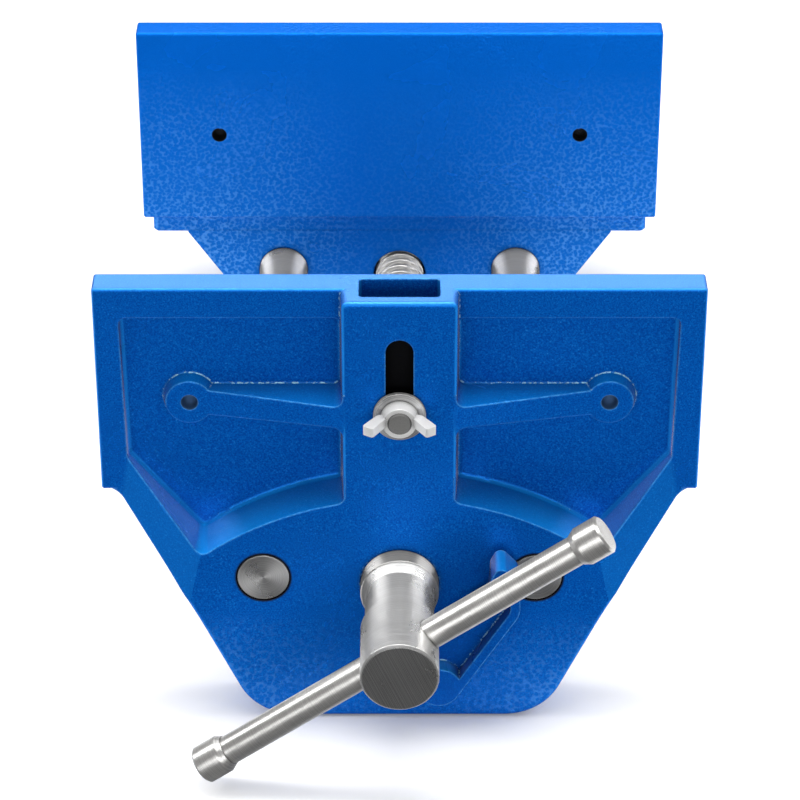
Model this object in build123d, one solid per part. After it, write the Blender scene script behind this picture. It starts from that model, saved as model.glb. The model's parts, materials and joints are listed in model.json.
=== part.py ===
from build123d import *
from math import atan2, cos, radians, sin, sqrt, tan
import os

# Quick-release woodworking vise for the front edge of a bench.
# Frame: x to the right of the person at the vise, y away from them, z up.
# The origin is the centre of the four bench bolts, on the face that lies against the bench.

# Both jaws
jaw_width = 254.0
jaw_rise = 98.0          # top of both jaws above the bench face
opening = 243.2          # distance between the clamping faces as modelled
opening_max = 300.0
plate_thick = 14.0
bolt_setback = 72.0      # rear clamping face to the centre of the bench bolts
edge_round = 1.2
casting_round = 2.0      # front edges of the column and of the body's rim
cheek_inset = 38.8       # cheek screws, in from the ends of the jaws
cheek_depth = 54.0
cheek_hole = 7.0

# Clearances
running_gap = 0.08       # radial, of a shaft in its bearing
face_gap = 0.3           # between faces that slide or turn on each other
dog_gap = 0.3
spigot_gap = 0.35        # visible ring between a guide bar's spigot and the jaw
cam_gap = 0.3            # release bar in the square hole of its cam
overrun = 1.0            # how far cuts run past the faces they open, and joined blocks into each other

# Front jaw: outline seen by the user, as depths below the top edge and insets from the plate's ends
wing_depth = 97.0
jaw_depth = 202.0
shoulder_inset = 7.1
waist_inset = 35.0
waist_depth = 140.5
foot_inset = 64.7
shoulder_round = 8.0
waist_round = 300.0
foot_round = 26.0

# Front jaw: thickness, measured forward from the clamping face
column_lead = 26.0       # face of the column at the top edge
face_slope = 0.0365      # the face leans forward by this much for each mm of depth
body_setback = 6.0       # back of the lower body, ahead of the clamping face
front_wall = 10.0        # iron left in front of the hollow at the back
skirt_wall = 8.0
screw_boss_radius = 22.0
release_boss_radius = 16.0
bar_boss_radius = 18.0
recess_gap = 1.0         # round the collars that sit in the jaw's back

# Front jaw: pockets beside the column, measured at their floor
pocket_floor = 8.5       # lead of the floor
pocket_top = 13.9
column_half = 25.2       # at the column's root
column_corner = 3.0      # top corners of the column, seen by the user
pocket_overlap = 0.8     # the pocket is cut this far under the column's foot
pocket_inset = 10.9      # outer wall, in from the end of the plate
pocket_bend_inset = 11.9
pocket_bend_depth = 81.0
pocket_tip_inset = 45.0
pocket_tip_depth = 122.0
pocket_draft = 4.0
pocket_corner_round = 3.0
pocket_floor_round = 2.4
arch_radius = 141.5
arch_depth = 232.5       # centre of the arch over the lower body
ramp_across = 0.383      # the ramp rises by this much for each mm inwards
ramp_down = 0.12         # and by this much for each mm of depth

# Cheek screw bosses and their ribs
boss_radius = 10.0
boss_base_radius = 12.0
boss_lead = 14.0
rib_root_height = 12.8
rib_round = 3.0          # inner corners where the rib meets the column and the boss
rib_lead = 27.0          # front of the rib where it meets the column
rib_sink = 0.1           # the rib's end lies this far inside the column's faces
rib_overlap = 7.0        # the rib's slope ends on the boss, this far from its centre

# Bench dog
dog_width = 33.0
dog_thick = 15.0
dog_lead = 5.3           # back of the dog, ahead of the clamping face
dog_drop = 11.0          # top of the dog below the jaw's top edge
dog_length = 64.0
dog_lift = 28.5
dog_corner = 1.5
dog_nut_depth = 51.6
stud_radius = 5.0
stud_grip = 10.0         # length of the stud inside the dog
stud_proud = 0.6
slot_width = 11.6
dog_washer_radius = 11.0
dog_washer_thick = 1.8
wing_nut_radius = 6.9
wing_nut_flare = 1.0
wing_nut_length = 5.4
wing_height = 4.1
wing_rise = 0.8          # middle of the wings above the stud's axis
wing_foot = 5.5          # inner edge of a wing on the nut's front, from the stud's axis
wing_root = (9.5, -2.2)  # corners of a wing: distance from the stud's axis, lead of the nut's front
wing_tip = (15.4, 6.2)
wing_point = (11.1, 9.0)

# Guide bars
bar_half = 58.2
bar_depth = 131.0
bar_radius = 12.0
spigot_radius = 11.0
spigot_length = 9.0

# Main screw
screw_depth = 133.7
screw_radius = 12.0
washer_radius = 16.7
washer_thick = 9.0
neck_radius = 14.6
neck_length = 21.0
hub_radius = 16.3
hub_length = 35.5
hub_bevel = 5.1          # from the hub's radius at the washer down to the neck
hub_chamfer = 1.0
hub_socket_radius = 9.0
hub_socket_depth = 32.0
collar_radius = 17.0
collar_length = 12.0
collar_lead = 14.0       # face that the collar pulls on, ahead of the clamping face
collar_pin_radius = 2.5
tail_radius = 8.0

# Tommy bar
handle_radius = 6.35
handle_length = 204.0
handle_angle = 35.0
handle_inset = 19.0      # bar axis behind the hub's end face
knob_radius = 8.3
knob_length = 14.0
knob_step = 0.4          # the knob's foot is this much wider than the bar
knob_flare = 3.0
knob_chamfer = 1.0
knob_socket_radius = 4.5
knob_socket_depth = 7.0

# Release lever and its bar
release_x = 17.0
release_depth = 179.0
release_square = 10.0
release_travel = 16.0    # degrees
journal_radius = 5.0
lobe_radius = 9.0
lever_gap = 1.2          # lever's back, ahead of the jaw's face at the lobe
lever_web = 4.0
lever_rim = 11.5
lever_rim_width = 4.2
horn_length = 15.5
horn_depth = 127.0       # the arm is thick above this depth
horn_foot_depth = 133.0  # the horn's inner side runs down to here
arm_foot_depth = 150.0   # upper edge of the arm beside the lobe
lever_elbow = (51.5, 140.5)
lever_shoulder = (50.6, 122.0)
lever_tip = (42.2, 112.9)
lever_heel = (38.6, 120.0)
lever_elbow_round = 12.0
lever_shoulder_round = 5.0
lever_tip_round = 3.0
lever_swing_gap = 2.3    # what the arm leaves round the thrust washer when it is squeezed
lever_bore = 9.0
lever_pin_radius = 2.0
lever_pin_end = 1.5      # the pin's end stands this far above the bar
spring_inner = 7.6
spring_outer = 10.4
spring_length = 8.0
spring_lead = 17.5       # face that the spring stands on, ahead of the clamping face
spring_collar_radius = 11.4
spring_collar_length = 6.0

# Rear jaw casting
plate_height = 99.6
flange_inset = 4.2       # ends of the flange, in from the ends of the jaw
flange_thick = 12.0
flange_setback = 5.0     # front edge of the flange, behind the clamping face
flange_corner = 22.0
flange_ear = 3.0
casting_depth = 125.0    # back of the casting, behind the clamping face
bolt_inset = 30.0        # bench bolts, in from the ends of the jaw
bolt_spacing_y = 72.0
bolt_hole = 11.0
apron_thick = 12.0
apron_inset = 21.5       # top of the walls, in from the ends of the jaw
apron_slope = 0.704
apron_round = 8.0
barrel_radius = 18.0
barrel_foot = 20.0       # apron below the guide bar axes
barrel_web = 16.0
web_setback = 6.0        # back of the barrels' webs, ahead of the casting's back
tongue_root_half = 44.0
tongue_half = 32.0
tongue_depth = 194.0
rear_wall_start = 84.0   # leaves room for the nuts of the rear bench bolts
rear_wall_thick = 12.0
screw_clear = 1.0        # radial, round the screw in both walls of the casting
cam_ledge = 4.0          # iron left in front of the cam sleeve

# Half nut, its pin and the cam that draws it down
nut_pivot_x = 30.0
nut_pivot_depth = 151.0
nut_pin_radius = 4.0
nut_eye_radius = 9.0
nut_start = 30.0
nut_length = 52.0
nut_half = 24.0
nut_bottom_depth = 160.0
nut_wrap = 65.0          # the thread trough reaches this many degrees up each side
fork_x = -12.0
fork_depth = 177.0
fork_reach = 7.0         # prongs, to the right of the finger's tip at rest
fork_mouth = 10.5        # slot, to the left of it
fork_wall = 3.0
fork_start = 46.0
fork_length = 16.0
fork_slack = 0.8
fork_prong = 4.0
finger_radius = 4.0
finger_root_radius = 3.0
cam_radius = 10.0
cam_seat = 2.0           # width of the ledge in front of the cam sleeve

# End bracket that ties the guide bars behind the bench
bracket_thick = 10.0
bracket_radius = 17.0
bracket_drop_radius = 12.0
tie_stud_radius = 6.0
tie_stud_proud = 2.0
tie_nut_flats = 18.0
tie_nut_height = 10.0
tie_nut_chamfer = 1.2
tie_washer_radius = 12.0
tie_washer_thick = 2.5
clip_thick = 1.2
clip_width = 4.0
pin_clip_width = 3.0


def depth(d):
    """Height of a point d below the top edge of the jaws."""
    return jaw_rise - d


def ahead(t):
    """Place of a plane t in front of the front jaw's clamping face."""
    return -bolt_setback - opening - t


def behind(t):
    """Place of a plane t behind the rear jaw's clamping face."""
    return -bolt_setback + t


def face_lead(d):
    """Lead of the front jaw's leaning face at depth d."""
    return column_lead + face_slope * d


# Places worked out from the sizes above
cheek_half = jaw_width / 2 - cheek_inset
shoulder_half = jaw_width / 2 - shoulder_inset
waist_half = jaw_width / 2 - waist_inset
foot_half = jaw_width / 2 - foot_inset
pocket_outer = jaw_width / 2 - pocket_inset
pocket_bend_half = jaw_width / 2 - pocket_bend_inset
pocket_tip_half = jaw_width / 2 - pocket_tip_inset
flange_half = jaw_width / 2 - flange_inset
apron_half = jaw_width / 2 - apron_inset
bolt_spacing_x = jaw_width - 2 * bolt_inset
bar_z = depth(bar_depth)
screw_z = depth(screw_depth)
release_z = depth(release_depth)
dog_z = depth(dog_nut_depth)
nut_pivot_z = depth(nut_pivot_depth)
fork_z = depth(fork_depth)
dog_centre = ahead(dog_lead + dog_thick / 2)
dog_washer_lead = face_lead(dog_nut_depth + dog_washer_radius) + face_gap / 2
wing_nut_lead = dog_washer_lead + dog_washer_thick + face_gap / 2
washer_lead = face_lead(screw_depth - washer_radius)
hub_lead = washer_lead + face_gap + washer_thick
hub_total = hub_bevel + neck_length + hub_length
handle_y = ahead(hub_lead + hub_total - handle_inset)
collar_near = ahead(collar_lead - face_gap)
collar_pin_y = collar_near + collar_length / 2
spring_near = ahead(spring_lead - face_gap)
lever_back = face_lead(release_depth) + lever_gap
wall_near = behind(flange_setback)
wall_far = behind(rear_wall_start + rear_wall_thick)
casting_end = behind(casting_depth)
bracket_near = casting_end + opening_max - opening + face_gap
bracket_far = bracket_near + bracket_thick
clip_near = bracket_far + face_gap
tail_end = clip_near + 2 * clip_thick


def slab(sketch, far, near):
    """A sketch drawn in x and z, made solid from y = far towards the user to y = near."""
    return extrude(Plane.XZ.offset(-far) * sketch, amount=far - near)


def rod(x, z, radius, far, near):
    """A round bar along y."""
    return slab(Pos(x, z) * Circle(radius), far, near)


def ring(x, z, outer, inner, far, near):
    """A washer or tube along y."""
    return slab(Pos(x, z) * (Circle(outer) - Circle(inner)), far, near)


def block(x0, x1, y0, y1, z0, z1):
    """A square-cornered block between two corners."""
    return Pos((x0 + x1) / 2, (y0 + y1) / 2, (z0 + z1) / 2) * Box(x1 - x0, y1 - y0, z1 - z0)


def strip(x0, x1, z, height):
    """A flat strip between two values of x, of the given height about z."""
    return Pos((x0 + x1) / 2, z) * Rectangle(abs(x1 - x0), height)


def both_sides(shape):
    """The shape and its mirror image across x = 0."""
    return shape + mirror(shape, about=Plane.YZ)


def strap(x0, z0, radius0, x1, z1, radius1):
    """The outline of a link: two circles and the straight lines that touch both."""
    first = Pos(x0, z0) * Circle(radius0)
    second = Pos(x1, z1) * Circle(radius1)
    return make_hull(first.edges() + second.edges())


def rounded(face, radius, *corners):
    """Rounds the corners of a sketch that lie at the given points."""
    chosen = ShapeList(
        v for v in face.vertices() if any(abs(v.X - x) + abs(v.Y - z) < 0.05 for x, z in corners)
    )
    return fillet(chosen, radius)


def outline(points):
    """The face inside points given as x and depth."""
    return make_face(Polyline(*[(x, depth(d)) for x, d in points], close=True))


def symmetric_outline(right):
    """The face inside points given for the right-hand side, from top to bottom."""
    return outline(right + [(-x, d) for x, d in reversed(right)])


def corner(point):
    """A sketch corner at a point given as x and depth."""
    x, d = point
    return x, depth(d)


def on_both(point):
    """A corner given as x and depth, on both sides of x = 0."""
    x, z = corner(point)
    return (x, z), (-x, z)


def turned(profile, x, z, start):
    """A turned piece about an axis along y: the profile has radii and distances ahead of start."""
    solid = revolve(Plane.XZ * make_face(Polyline(*profile, close=True)), axis=Axis.Z)
    return Pos(x, start, z) * Rot(90, 0, 0) * solid


def outer_rims(solid, radius):
    """The round edges of the given radius on a turned piece."""
    circles = solid.edges().filter_by(GeomType.CIRCLE)
    return circles.filter_by(lambda e: abs(e.radius - radius) < 0.001)


# Front jaw
def front_outline():
    """The front jaw seen by the user: a wide plate over a body that narrows to its foot."""
    right = [
        (jaw_width / 2, 0),
        (jaw_width / 2, wing_depth),
        (shoulder_half, wing_depth),
        (waist_half, waist_depth),
        (foot_half, jaw_depth),
    ]
    face = symmetric_outline(right)
    face = rounded(face, shoulder_round, *on_both(right[2]))
    face = rounded(face, waist_round, *on_both(right[3]))
    return rounded(face, foot_round, *on_both(right[4]))


def leaning_face():
    """Plane of the front jaw's face, which leans forward as it goes down."""
    return Plane(origin=(0, ahead(column_lead), depth(0)), x_dir=(1, 0, 0), z_dir=(0, -1, face_slope))


def ramp_face(side):
    """Plane of the ramp between the jaw plate's rim and the body, on one side."""
    start = (side * pocket_bend_half, ahead(plate_thick), depth(pocket_bend_depth))
    return Plane(origin=start, z_dir=(side * ramp_across, -1, ramp_down))


def front_body():
    """The lower body, cut back by a ramp on each side and by the leaning face, whose rim is rounded."""
    reach = shoulder_half + shoulder_round / 2
    middle = depth((pocket_bend_depth + jaw_depth) / 2)
    band = Pos(0, middle) * Rectangle(2 * reach, jaw_depth - pocket_bend_depth)
    body = slab(front_outline() & band, ahead(body_setback), ahead(face_lead(jaw_depth) + overrun))
    for plane in (ramp_face(1), ramp_face(-1), leaning_face()):
        body = split(body, bisect_by=plane, keep=Keep.BOTTOM)
    foremost = body.faces().sort_by(Axis.Y)[0]
    return fillet(foremost.edges(), casting_round)


def pocket_cutter():
    """What is cut from the front, right of the column: sloping walls and a soft floor."""
    inner = column_half - pocket_overlap
    corners = [
        (inner, pocket_top),
        (pocket_outer, pocket_top),
        (pocket_bend_half, pocket_bend_depth),
        (pocket_tip_half, pocket_tip_depth),
        (inner, pocket_tip_depth),
    ]
    face = outline(corners) - Pos(0, depth(arch_depth)) * Circle(arch_radius)
    face = fillet(face.vertices(), pocket_corner_round)
    reach = face_lead(pocket_tip_depth) - pocket_floor + 2 * overrun
    cutter = extrude(Plane.XZ.offset(-ahead(pocket_floor)) * face, amount=reach, taper=-pocket_draft)
    floor_edges = cutter.faces().sort_by(Axis.Y)[-1].edges()
    return fillet(floor_edges, pocket_floor_round)


def column():
    """The column that holds the dog: tapered sides, a leaning face and rounded front edges."""
    reach = face_lead(pocket_tip_depth) - body_setback + 2 * overrun
    height = pocket_tip_depth + reach * tan(radians(pocket_draft)) + overrun
    base = Pos(0, depth(pocket_tip_depth) + height / 2) * Rectangle(2 * column_half, height)
    post = extrude(Plane.XZ.offset(-ahead(body_setback)) * base, amount=reach, taper=pocket_draft)
    post = split(post, bisect_by=leaning_face(), keep=Keep.BOTTOM)
    post = split(post, bisect_by=Plane.XY.offset(depth(0)), keep=Keep.BOTTOM)
    top_sides = post.faces().sort_by(Axis.Z)[-1].edges().sort_by(Axis.X)
    post = fillet([top_sides[0], top_sides[-1]], column_corner)
    rim = post.faces().sort_by(Axis.Y)[0].edges().sort_by(Axis.Z)[1:]
    return fillet(rim, casting_round)


def rib_base(side):
    """Foot of a cheek rib with its end inside the column and the boss, and rounded inner corners."""
    z = depth(cheek_depth)
    half = rib_root_height / 2
    wall = column_half - rib_sink
    base = strip(side * wall, side * column_half / 2, z, rib_root_height + 4 * rib_round)
    base += strip(side * column_half / 2, side * cheek_half, z, rib_root_height)
    base += Pos(side * cheek_half, z) * Circle(boss_radius)
    meeting = cheek_half - sqrt(boss_radius**2 - half**2)
    corners = [(side * x, z + turn * half) for x in (wall, meeting) for turn in (-1, 1)]
    return rounded(base, rib_round, *corners)


def cheek_boss(side):
    """Boss and rib that stiffen the pocket round the cheek screw, on one side."""
    z = depth(cheek_depth)
    root = Plane.XZ.offset(-ahead(body_setback))
    height = boss_lead - body_setback
    cone = Cone(boss_base_radius, boss_radius, height, align=(Align.CENTER, Align.CENTER, Align.MIN))
    reach = rib_lead - body_setback + 4 * overrun
    rib = extrude(root * rib_base(side), amount=reach, taper=pocket_draft)
    rib_end = cheek_half - rib_overlap
    rise = (rib_lead - boss_lead) / (rib_end - column_half)
    start = (side * rib_end, ahead(boss_lead), z)
    rib = split(rib, bisect_by=Plane(origin=start, z_dir=(side * rise, -1, 0)), keep=Keep.BOTTOM)
    rib = split(rib, bisect_by=leaning_face().offset(-rib_sink), keep=Keep.BOTTOM)
    return root * Pos(side * cheek_half, z) * cone + rib


def back_hollow():
    """The hollow in the back of the lower body, which leaves a skirt, a front wall, bosses and ribs."""
    inside = offset(front_outline(), -skirt_wall, kind=Kind.INTERSECTION)
    arch = Pos(0, depth(arch_depth)) * Circle(arch_radius - skirt_wall)
    iron = Pos(0, (screw_z + depth(jaw_depth)) / 2) * Rectangle(skirt_wall, screw_z - depth(jaw_depth))
    iron += Pos(0, bar_z) * Rectangle(2 * bar_half, skirt_wall)
    iron += Pos(0, screw_z) * Circle(screw_boss_radius)
    iron += Pos(release_x, release_z) * Circle(release_boss_radius)
    for x in (-bar_half, bar_half):
        iron += Pos(x, bar_z) * Circle(bar_boss_radius)
    floor = face_lead(wing_depth) - front_wall
    return slab((arch & inside) - iron, ahead(body_setback - overrun), ahead(floor))


def front_bores():
    """Bores of the front jaw: guide bars and their spigots, screw, release bar and cheek screws."""
    back = ahead(0)
    beyond = ahead(face_lead(jaw_depth) + overrun)
    shoulder = ahead(face_lead(bar_depth) - spigot_length)
    cut = rod(0, screw_z, screw_radius + running_gap, back, beyond)
    cut += rod(0, screw_z, washer_radius + face_gap, ahead(washer_lead), beyond)
    cut += rod(0, screw_z, collar_radius + recess_gap, back, ahead(collar_lead))
    cut += rod(release_x, release_z, journal_radius + running_gap, back, beyond)
    cut += rod(release_x, release_z, spring_collar_radius + recess_gap, back, ahead(spring_lead))
    for side in (-1, 1):
        cut += rod(side * bar_half, bar_z, bar_radius, back, shoulder)
        cut += rod(side * bar_half, bar_z, spigot_radius + spigot_gap, back, beyond)
        cut += rod(side * cheek_half, depth(cheek_depth), cheek_hole / 2, back + overrun, beyond)
    return cut


def dog_opening():
    """The shaft that the dog slides in, and the slot for its stud in the face of the column."""
    hole = RectangleRounded(dog_width + 2 * dog_gap, dog_thick + 2 * dog_gap, dog_corner + dog_gap)
    floor = dog_drop + dog_length + 2 * overrun
    shaft = extrude(Plane.XY * Pos(0, dog_centre, depth(floor)) * hole, amount=floor + overrun)
    clear = slot_width / 2 + dog_gap
    top = dog_z + dog_lift + clear
    bottom = dog_z - clear
    slot = Pos(0, (top + bottom) / 2) * SlotOverall(top - bottom, slot_width, rotation=90)
    return shaft + slab(slot, dog_centre, ahead(face_lead(pocket_tip_depth)))


def front_jaw():
    """Moving jaw: a wide plate with pockets, a column for the dog and a hollow body below."""
    plate = Pos(0, depth(wing_depth / 2)) * Rectangle(jaw_width, wing_depth)
    plate = slab(plate, ahead(0), ahead(plate_thick))
    jaw = fillet(plate.edges(), edge_round) + front_body()
    jaw -= both_sides(pocket_cutter())
    jaw += column()
    jaw += cheek_boss(1) + cheek_boss(-1)
    return jaw - back_hollow() - front_bores() - dog_opening()


# Bench dog
def dog():
    """Steel dog that slides up out of the front jaw, with chamfered top edges."""
    section = RectangleRounded(dog_width, dog_thick, dog_corner)
    bar = extrude(Plane.XY * Pos(0, dog_centre, depth(dog_drop + dog_length)) * section, amount=dog_length)
    bar = chamfer(bar.faces().sort_by(Axis.Z)[-1].edges(), 1)
    front = ahead(dog_lead + dog_thick)
    return bar - rod(0, dog_z, stud_radius, front + stud_grip, front)


def dog_stud():
    """Stud screwed into the dog, standing out through the slot of the column."""
    root = ahead(dog_lead + dog_thick) + stud_grip
    stud = rod(0, dog_z, stud_radius, root, ahead(wing_nut_lead + wing_nut_length + stud_proud))
    return chamfer(stud.faces().sort_by(Axis.Y)[0].edges(), stud_proud)


def dog_washer():
    """Washer under the wing nut, ahead of the furthest point of the leaning face that it covers."""
    back = ahead(dog_washer_lead)
    hole = stud_radius + running_gap
    return ring(0, dog_z, dog_washer_radius, hole, back, back - dog_washer_thick)


def wing_nut():
    """Wing nut: a round body with two square wings that reach out and forward."""
    back = ahead(wing_nut_lead)
    front = back - wing_nut_length
    foot = wing_nut_radius + wing_nut_flare
    profile = [(0, 0), (foot, 0), (wing_nut_radius, wing_nut_length), (0, wing_nut_length)]
    nut = turned(profile, 0, dog_z, back)
    corners = [(wing_nut_radius / 2, back - overrun)]
    corners += [(x, front - lead) for x, lead in (wing_root, wing_tip, wing_point)]
    corners += [(wing_foot, front)]
    face = make_face(Polyline(*corners, close=True))
    wing = extrude(Plane.XY.offset(dog_z + wing_rise - wing_height / 2) * face, amount=wing_height)
    wing = fillet(wing.edges().filter_by(Axis.Z).sort_by(Axis.Y)[:2], wing_height / 4)
    nut += both_sides(wing)
    return nut - rod(0, dog_z, stud_radius + running_gap, back + overrun, front - overrun)


# Guide bars and the bracket behind the bench
def guide_bar(side):
    """Guide bar: a spigot in the front jaw's face, a long bearing and a stud for the end bracket."""
    x = side * bar_half
    face = ahead(face_lead(bar_depth))
    shoulder = face + spigot_length
    stud_end = bracket_far + tie_washer_thick + tie_nut_height + tie_stud_proud
    stud = rod(x, bar_z, tie_stud_radius, stud_end, bracket_near)
    stud = chamfer(stud.faces().sort_by(Axis.Y)[-1].edges(), tie_stud_proud / 2)
    bar = rod(x, bar_z, bar_radius, bracket_near, shoulder)
    return bar + rod(x, bar_z, spigot_radius, shoulder, face) + stud


def end_bracket():
    """Plate that ties the guide bars together and carries the ends of the screw and release bar."""
    plate = strap(-bar_half, bar_z, bracket_radius, bar_half, bar_z, bracket_radius)
    plate += strap(release_x, bar_z, bracket_radius, release_x, release_z, bracket_drop_radius)
    plate -= Pos(0, screw_z) * Circle(tail_radius + running_gap)
    plate -= Pos(release_x, release_z) * Circle(journal_radius + running_gap)
    for x in (-bar_half, bar_half):
        plate -= Pos(x, bar_z) * Circle(tie_stud_radius)
    return slab(plate, bracket_far, bracket_near)


def tie_washers():
    """Washers under the nuts of the end bracket."""
    far = bracket_far + tie_washer_thick
    hole = tie_stud_radius + face_gap
    return both_sides(ring(bar_half, bar_z, tie_washer_radius, hole, far, bracket_far))


def tie_nuts():
    """Hexagon nuts that hold the bracket on the guide bars, with turned-off corners at the back."""
    near = bracket_far + tie_washer_thick
    far = near + tie_nut_height
    hexagon = Pos(bar_half, bar_z) * RegularPolygon(tie_nut_flats / 2, 6, major_radius=False)
    blank = rod(bar_half, bar_z, tie_nut_flats / sqrt(3), far, near)
    blank = chamfer(blank.faces().sort_by(Axis.Y)[-1].edges(), tie_nut_chamfer)
    nut = (blank & slab(hexagon, far, near)) - rod(bar_half, bar_z, tie_stud_radius, far, near)
    return both_sides(nut)


# Main screw
def thrust_washer():
    """Thick washer between the screw's hub and the machined seat on the jaw."""
    back = ahead(washer_lead + face_gap)
    washer = ring(0, screw_z, washer_radius, screw_radius + running_gap, back, back - washer_thick)
    return chamfer(outer_rims(washer, washer_radius), hub_chamfer / 2)


def screw_hub():
    """Forged head of the screw: bevelled collar, neck and the hub that the tommy bar slides through."""
    neck_end = hub_bevel + neck_length
    profile = [
        (0, 0),
        (hub_radius, 0),
        (neck_radius, hub_bevel),
        (neck_radius, neck_end),
        (hub_radius - hub_chamfer / 2, neck_end),
        (hub_radius, neck_end + hub_chamfer / 2),
        (hub_radius, hub_total - hub_chamfer),
        (hub_radius - hub_chamfer, hub_total),
        (0, hub_total),
    ]
    back = ahead(hub_lead)
    hub = turned(profile, 0, screw_z, back)
    hub -= rod(0, screw_z, hub_socket_radius, back, back - hub_socket_depth)
    return hub - handle_rod(handle_radius + running_gap, 4 * hub_radius)


def main_screw():
    """Main screw: spigot in the hub, bearing in the jaw, screwed length and a tail in the end bracket."""
    back = ahead(hub_lead)
    end = bracket_near - face_gap
    screw = rod(0, screw_z, hub_socket_radius, back, back - hub_socket_depth + face_gap)
    screw += rod(0, screw_z, screw_radius, end, back)
    screw += rod(0, screw_z, tail_radius, tail_end, end)
    return screw - collar_pin()


def screw_collar():
    """Collar pinned on the screw behind the front jaw, so that the screw pulls the jaw open again."""
    collar = ring(0, screw_z, collar_radius, screw_radius, collar_near + collar_length, collar_near)
    return chamfer(outer_rims(collar, collar_radius), hub_chamfer) - collar_pin()


def collar_pin():
    """Upright cross pin through the collar and the screw."""
    return Pos(0, collar_pin_y, screw_z) * Cylinder(collar_pin_radius, 2 * collar_radius)


def end_clip(x, z, radius):
    """Spring ring on the end of a shaft behind the end bracket."""
    mouth = Pos(0, -radius - clip_width / 2) * Rectangle(radius, 2 * clip_width)
    clip = Circle(radius + clip_width) - Circle(radius) - mouth
    return slab(Pos(x, z) * clip, clip_near + clip_thick, clip_near)


# Tommy bar
def along_handle(distance):
    """Place on the tommy bar's axis, with the bar's own direction as z."""
    return Pos(0, handle_y, screw_z) * Rot(0, 90 - handle_angle, 0) * Pos(0, 0, distance)


def handle_rod(radius, length):
    """A round bar of the given length, centred in the hub."""
    return along_handle(0) * Cylinder(radius, length)


def tommy_bar():
    """Straight bar with a reduced end in each knob."""
    bar = handle_rod(handle_radius, handle_length - 2 * knob_length)
    return bar + handle_rod(knob_socket_radius, handle_length - 2 * (knob_length - knob_socket_depth))


def handle_knob(side):
    """End knob: a flare off the bar, a plain barrel and a chamfered end."""
    profile = [
        (knob_socket_radius, 0),
        (handle_radius + knob_step, 0),
        (knob_radius, knob_flare),
        (knob_radius, knob_length - knob_chamfer),
        (knob_radius - knob_chamfer, knob_length),
        (0, knob_length),
        (0, knob_socket_depth),
        (knob_socket_radius, knob_socket_depth),
    ]
    knob = revolve(Plane.XZ * make_face(Polyline(*profile, close=True)), axis=Axis.Z)
    facing = Rot(0, 90 - 90 * side, 0)
    return along_handle(side * (handle_length / 2 - knob_length)) * facing * knob


# Quick release: lever, bar and spring on the front jaw
def swung_screw_axis():
    """Where the screw's axis lies for the lever once the lever is squeezed, as x and z."""
    turn = radians(release_travel)
    x = -release_x
    z = screw_z - release_z
    return release_x + x * cos(turn) + z * sin(turn), release_z - x * sin(turn) + z * cos(turn)


def lever_outline():
    """The lever seen by the user: a lobe on the release bar and an arm that rises beside the screw."""
    x = lever_elbow[0] - release_x
    z = release_depth - lever_elbow[1]
    rise = atan2(z, x) + atan2(lobe_radius, sqrt(x * x + z * z - lobe_radius**2))
    corners = [
        (release_x, release_depth),
        (release_x + lobe_radius * sin(rise), release_depth + lobe_radius * cos(rise)),
        lever_elbow,
        lever_shoulder,
        lever_tip,
        lever_heel,
        (lever_heel[0] - overrun, horn_foot_depth),
        (release_x - lobe_radius, arm_foot_depth),
        (release_x - lobe_radius, release_depth),
    ]
    arm = outline(corners)
    arm = rounded(arm, lever_elbow_round, corner(lever_elbow))
    arm = rounded(arm, lever_shoulder_round, corner(lever_shoulder))
    arm = rounded(arm, lever_tip_round, corner(lever_tip), corner(lever_heel))
    arm -= Pos(*swung_screw_axis()) * Circle(washer_radius + lever_swing_gap)
    return arm + Pos(release_x, release_z) * Circle(lobe_radius)


def release_lever():
    """Cast lever: a thin web inside a raised rim, a lobe on the release bar and a thick horn on top."""
    face = lever_outline()
    back = ahead(lever_back)
    inside = offset(face, -lever_rim_width, kind=Kind.INTERSECTION)
    inside -= Pos(release_x, release_z) * Circle(lobe_radius + overrun)
    above = Pos(release_x, depth(horn_depth) + horn_length) * Rectangle(2 * jaw_width, 2 * horn_length)
    lever = slab(face, back, back - lever_rim)
    lever -= slab(inside, back - lever_web, back - lever_rim - overrun)
    lever += slab(face & above, back, back - horn_length)
    return lever - rod(release_x, release_z, journal_radius, back, back - lever_bore) - lever_pin()


def lever_pin():
    """Upright pin through the lobe's underside and the release bar's journal."""
    bottom = release_z - lobe_radius
    length = lobe_radius + journal_radius + lever_pin_end
    middle = Pos(release_x, ahead(lever_back + lever_bore / 2), bottom + length / 2)
    return middle * Cylinder(lever_pin_radius, length)


def release_bar():
    """Bar turned by the lever: journals in the jaw and the bracket, square in between."""
    end = bracket_near - face_gap
    square = Pos(release_x, release_z) * Rectangle(release_square, release_square)
    bar = slab(square, end, spring_near)
    bar += rod(release_x, release_z, journal_radius, spring_near, ahead(lever_back + lever_bore - face_gap))
    bar += rod(release_x, release_z, journal_radius, tail_end, end)
    return bar - lever_pin()


def lever_spring():
    """Torsion spring round the release bar, as the sleeve that its coils fill."""
    return ring(release_x, release_z, spring_outer, spring_inner, spring_near + spring_length, spring_near)


def spring_collar():
    """Collar on the release bar that holds the spring's far end."""
    near = spring_near + spring_length + face_gap
    face = Circle(spring_collar_radius) - Rectangle(release_square, release_square)
    return slab(Pos(release_x, release_z) * face, near + spring_collar_length, near)


# Rear jaw casting
def wall_outline():
    """Wall below the flange: slanted sides, a foot under each barrel and a tongue for the release cam."""
    foot = bar_depth + barrel_foot
    underside = jaw_rise + flange_thick
    right = [
        (apron_half, underside - overrun),
        (apron_half, underside),
        (apron_half - apron_slope * (foot - underside), foot),
        (tongue_root_half, foot),
        (tongue_half, tongue_depth),
    ]
    face = symmetric_outline(right)
    return rounded(face, apron_round, *on_both(right[2]), *on_both(right[3]), *on_both(right[4]))


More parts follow.
